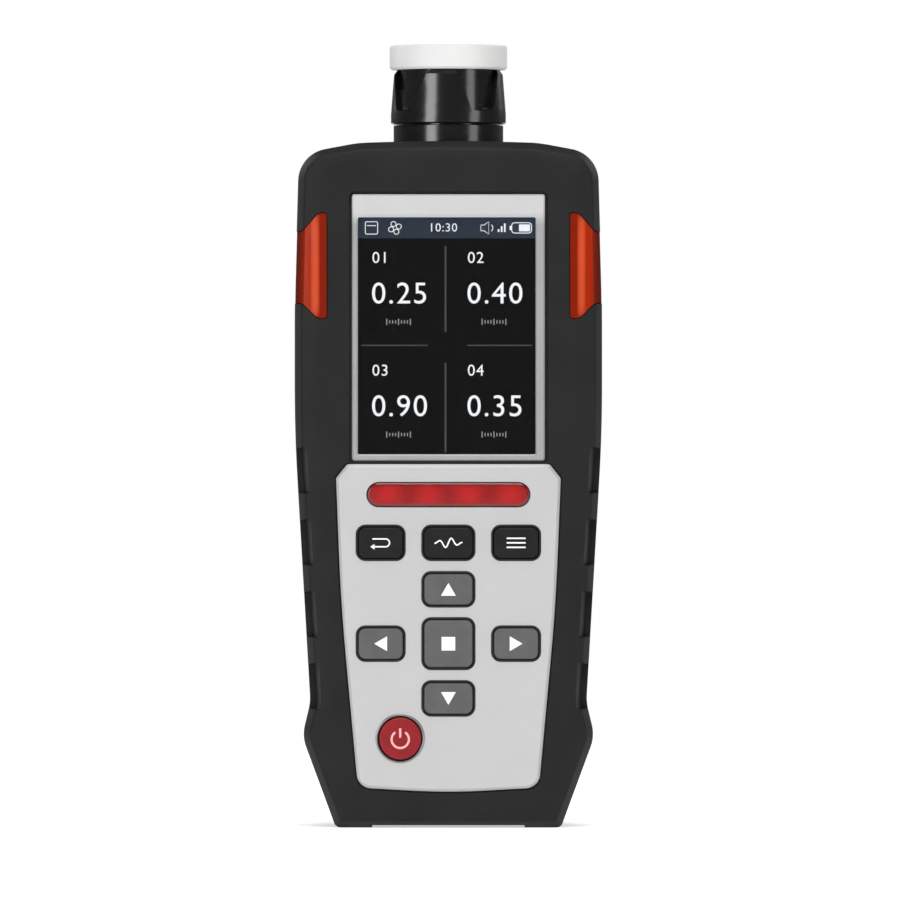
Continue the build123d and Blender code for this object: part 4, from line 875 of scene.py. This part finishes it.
def drawLegends():
    for way, turn in (("Up", 0), ("Down", 180), ("Left", 90), ("Right", -90)):
        key = "key_" + way.lower()
        triangle(legend(key), turn).done("legend" + way, key, "cap_white", legendInk)
    square, stroke = legendValues["square"], legendValues["stroke"]
    legend("key_enter").box(0, 0, square, square).done("legendEnter", "key_enter", "cap_white", legendInk)
    back = legend("key_back")
    back.line([(-1.9, -0.95), (1.2, -0.95)], stroke).arc(1.2, 0.0, 0.95, -90, 90, stroke, 12)
    back.line([(1.2, 0.95), (-2.0, 0.95)], stroke)
    back.shape([(-2.5, -0.95), (-1.5, -1.65), (-1.5, -0.25)])
    back.done("legendBack", "key_back", "cap_white", legendInk)
    wave = [(x / 10, 1.2 * math.sin(x / 10 * 2.1) * math.exp(-(x / 24) ** 2)) for x in range(-34, 35)]
    legend("key_measure").line(wave, stroke).done("legendMeasure", "key_measure", "cap_white", legendInk)
    menu = legend("key_menu")
    for z in (-1.1, 0, 1.1):
        menu.line([(-2.3, z), (2.3, z)], 0.38)
    menu.done("legendMenu", "key_menu", "cap_white", legendInk)
    power = legend("key_power").arc(0, -0.2, 2.1, 125, 415, 0.56).line([(0, 0.2), (0, 2.5)], 0.56)
    power.done("legendPower", "key_power", "cap_white", powerInk)


drawLegends()


powerRingValues = dict(middle=5.73 * mm, width=0.64 * mm, height=0.46 * mm, round=0.12 * mm, proud=0.1 * mm)


def powerRing():
    # satin ring round the power key, just proud of the panel
    v = powerRingValues
    low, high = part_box("key_power")
    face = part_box("keypad_panel")[0].y - v["proud"] + v["height"] / 2
    g = Growth("ringTree", middle=v["middle"], width=v["width"], height=v["height"], round=v["round"])
    circle = g.node("GeometryNodeCurvePrimitiveCircle", inputs={"Resolution": 96, "Radius": g.given("middle")})
    block = g.node("GeometryNodeCurvePrimitiveQuadrilateral", inputs={
        "Width": g.given("width"), "Height": g.given("height")})
    section = g.node("GeometryNodeFilletCurve", inputs={"Curve": block, "Radius": g.given("round")})
    ring = g.node("GeometryNodeCurveToMesh", inputs={"Curve": circle, "Profile Curve": section})
    place = ((low.x + high.x) / 2, face, (low.z + high.z) / 2)
    g.grown(g.moved(ring, place, (math.radians(90), 0, 0)), "powerRing", "body", "clip_steel")


powerRing()
print("legends drawn")


# Camera, lights and floor

studio = dict(
    distance=3.2, eye=91.85 * mm, aside=0.39 * mm, viewWidth=218.7 * mm,
    floorHalf=1.2, floorGlow=0.5, sky=0.1, backdrop=1.0,
    # azimuth, elevation, distance, width, height, power
    softboxes=(
        ("keyLight", -36, 8, 1.5, 0.55, 0.7, 7.6),
        ("fillLight", 54, 8, 1.5, 0.5, 0.7, 3.2),
        ("frontLight", 6, 50, 1.7, 0.9, 0.6, 16.0),
        ("topLight", 0, 84, 1.5, 1.0, 1.0, 8.0),
        ("backLeft", -140, 25, 1.6, 0.6, 0.9, 6.0),
        ("backRight", 140, 25, 1.6, 0.6, 0.9, 6.0),
    ),
)


def softbox(name, azimuth, elevation, distance, wide, tall, power):
    # azimuth from the front, positive to the viewer's right
    a, e = math.radians(azimuth), math.radians(elevation)
    target = Vector((0, 0, 0.1))
    spot = target + distance * Vector((math.sin(a) * math.cos(e), -math.cos(a) * math.cos(e), math.sin(e)))
    lamp = bpy.data.lights.new(name, "AREA")
    lamp.shape, lamp.size, lamp.size_y, lamp.energy = "RECTANGLE", wide, tall, power
    holder = bpy.data.objects.new(name, lamp)
    holder.location = spot
    holder.rotation_euler = (spot - target).to_track_quat("Z", "Y").to_euler()
    bpy.context.collection.objects.link(holder)


def buildStudio():
    s = studio
    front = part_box("rubber_boot")[0].y
    lens = bpy.data.cameras.new("camera")
    lens.sensor_width = 36.0
    lens.lens = lens.sensor_width * s["distance"] / s["viewWidth"]
    lens.clip_end = 20.0
    camera = bpy.data.objects.new("camera", lens)
    camera.location = (s["aside"], front - s["distance"], s["eye"])
    camera.rotation_euler = (math.radians(90), 0, 0)
    bpy.context.collection.objects.link(camera)
    bpy.context.scene.camera = camera
    bpy.context.scene.view_settings.view_transform = "Standard"
    for row in s["softboxes"]:
        softbox(*row)
    world = bpy.data.worlds.new("studio")
    world.use_nodes = True
    nodes, links = world.node_tree.nodes, world.node_tree.links
    ground = nodes["Background"]
    ground.inputs["Color"].default_value = (1, 1, 1, 1)
    ground.inputs["Strength"].default_value = s["sky"]
    seen = nodes.new("ShaderNodeBackground")
    seen.inputs["Color"].default_value = (1, 1, 1, 1)
    seen.inputs["Strength"].default_value = s["backdrop"]
    path, blend = nodes.new("ShaderNodeLightPath"), nodes.new("ShaderNodeMixShader")
    links.new(path.outputs["Is Camera Ray"], blend.inputs[0])
    links.new(ground.outputs[0], blend.inputs[1])
    links.new(seen.outputs[0], blend.inputs[2])
    links.new(blend.outputs[0], nodes["World Output"].inputs["Surface"])
    bpy.context.scene.world = world
    half = s["floorHalf"]
    mesh = bpy.data.meshes.new("floor")
    mesh.from_pydata([(-half, -half, 0), (half, -half, 0), (half, half, 0), (-half, half, 0)], [], [(0, 1, 2, 3)])
    f = Finish("floorPaper", Emission_Color=rgb(1.0), Emission_Strength=s["floorGlow"])
    fibre = f.noise(0.002, detail=3)
    material = f.feed(Base_Color=f.mix(fibre, rgb(0.8), rgb(0.84)), Roughness=0.8 + fibre * 0.1)
    newPiece("floor", mesh, material)


buildStudio()
print("studio built")
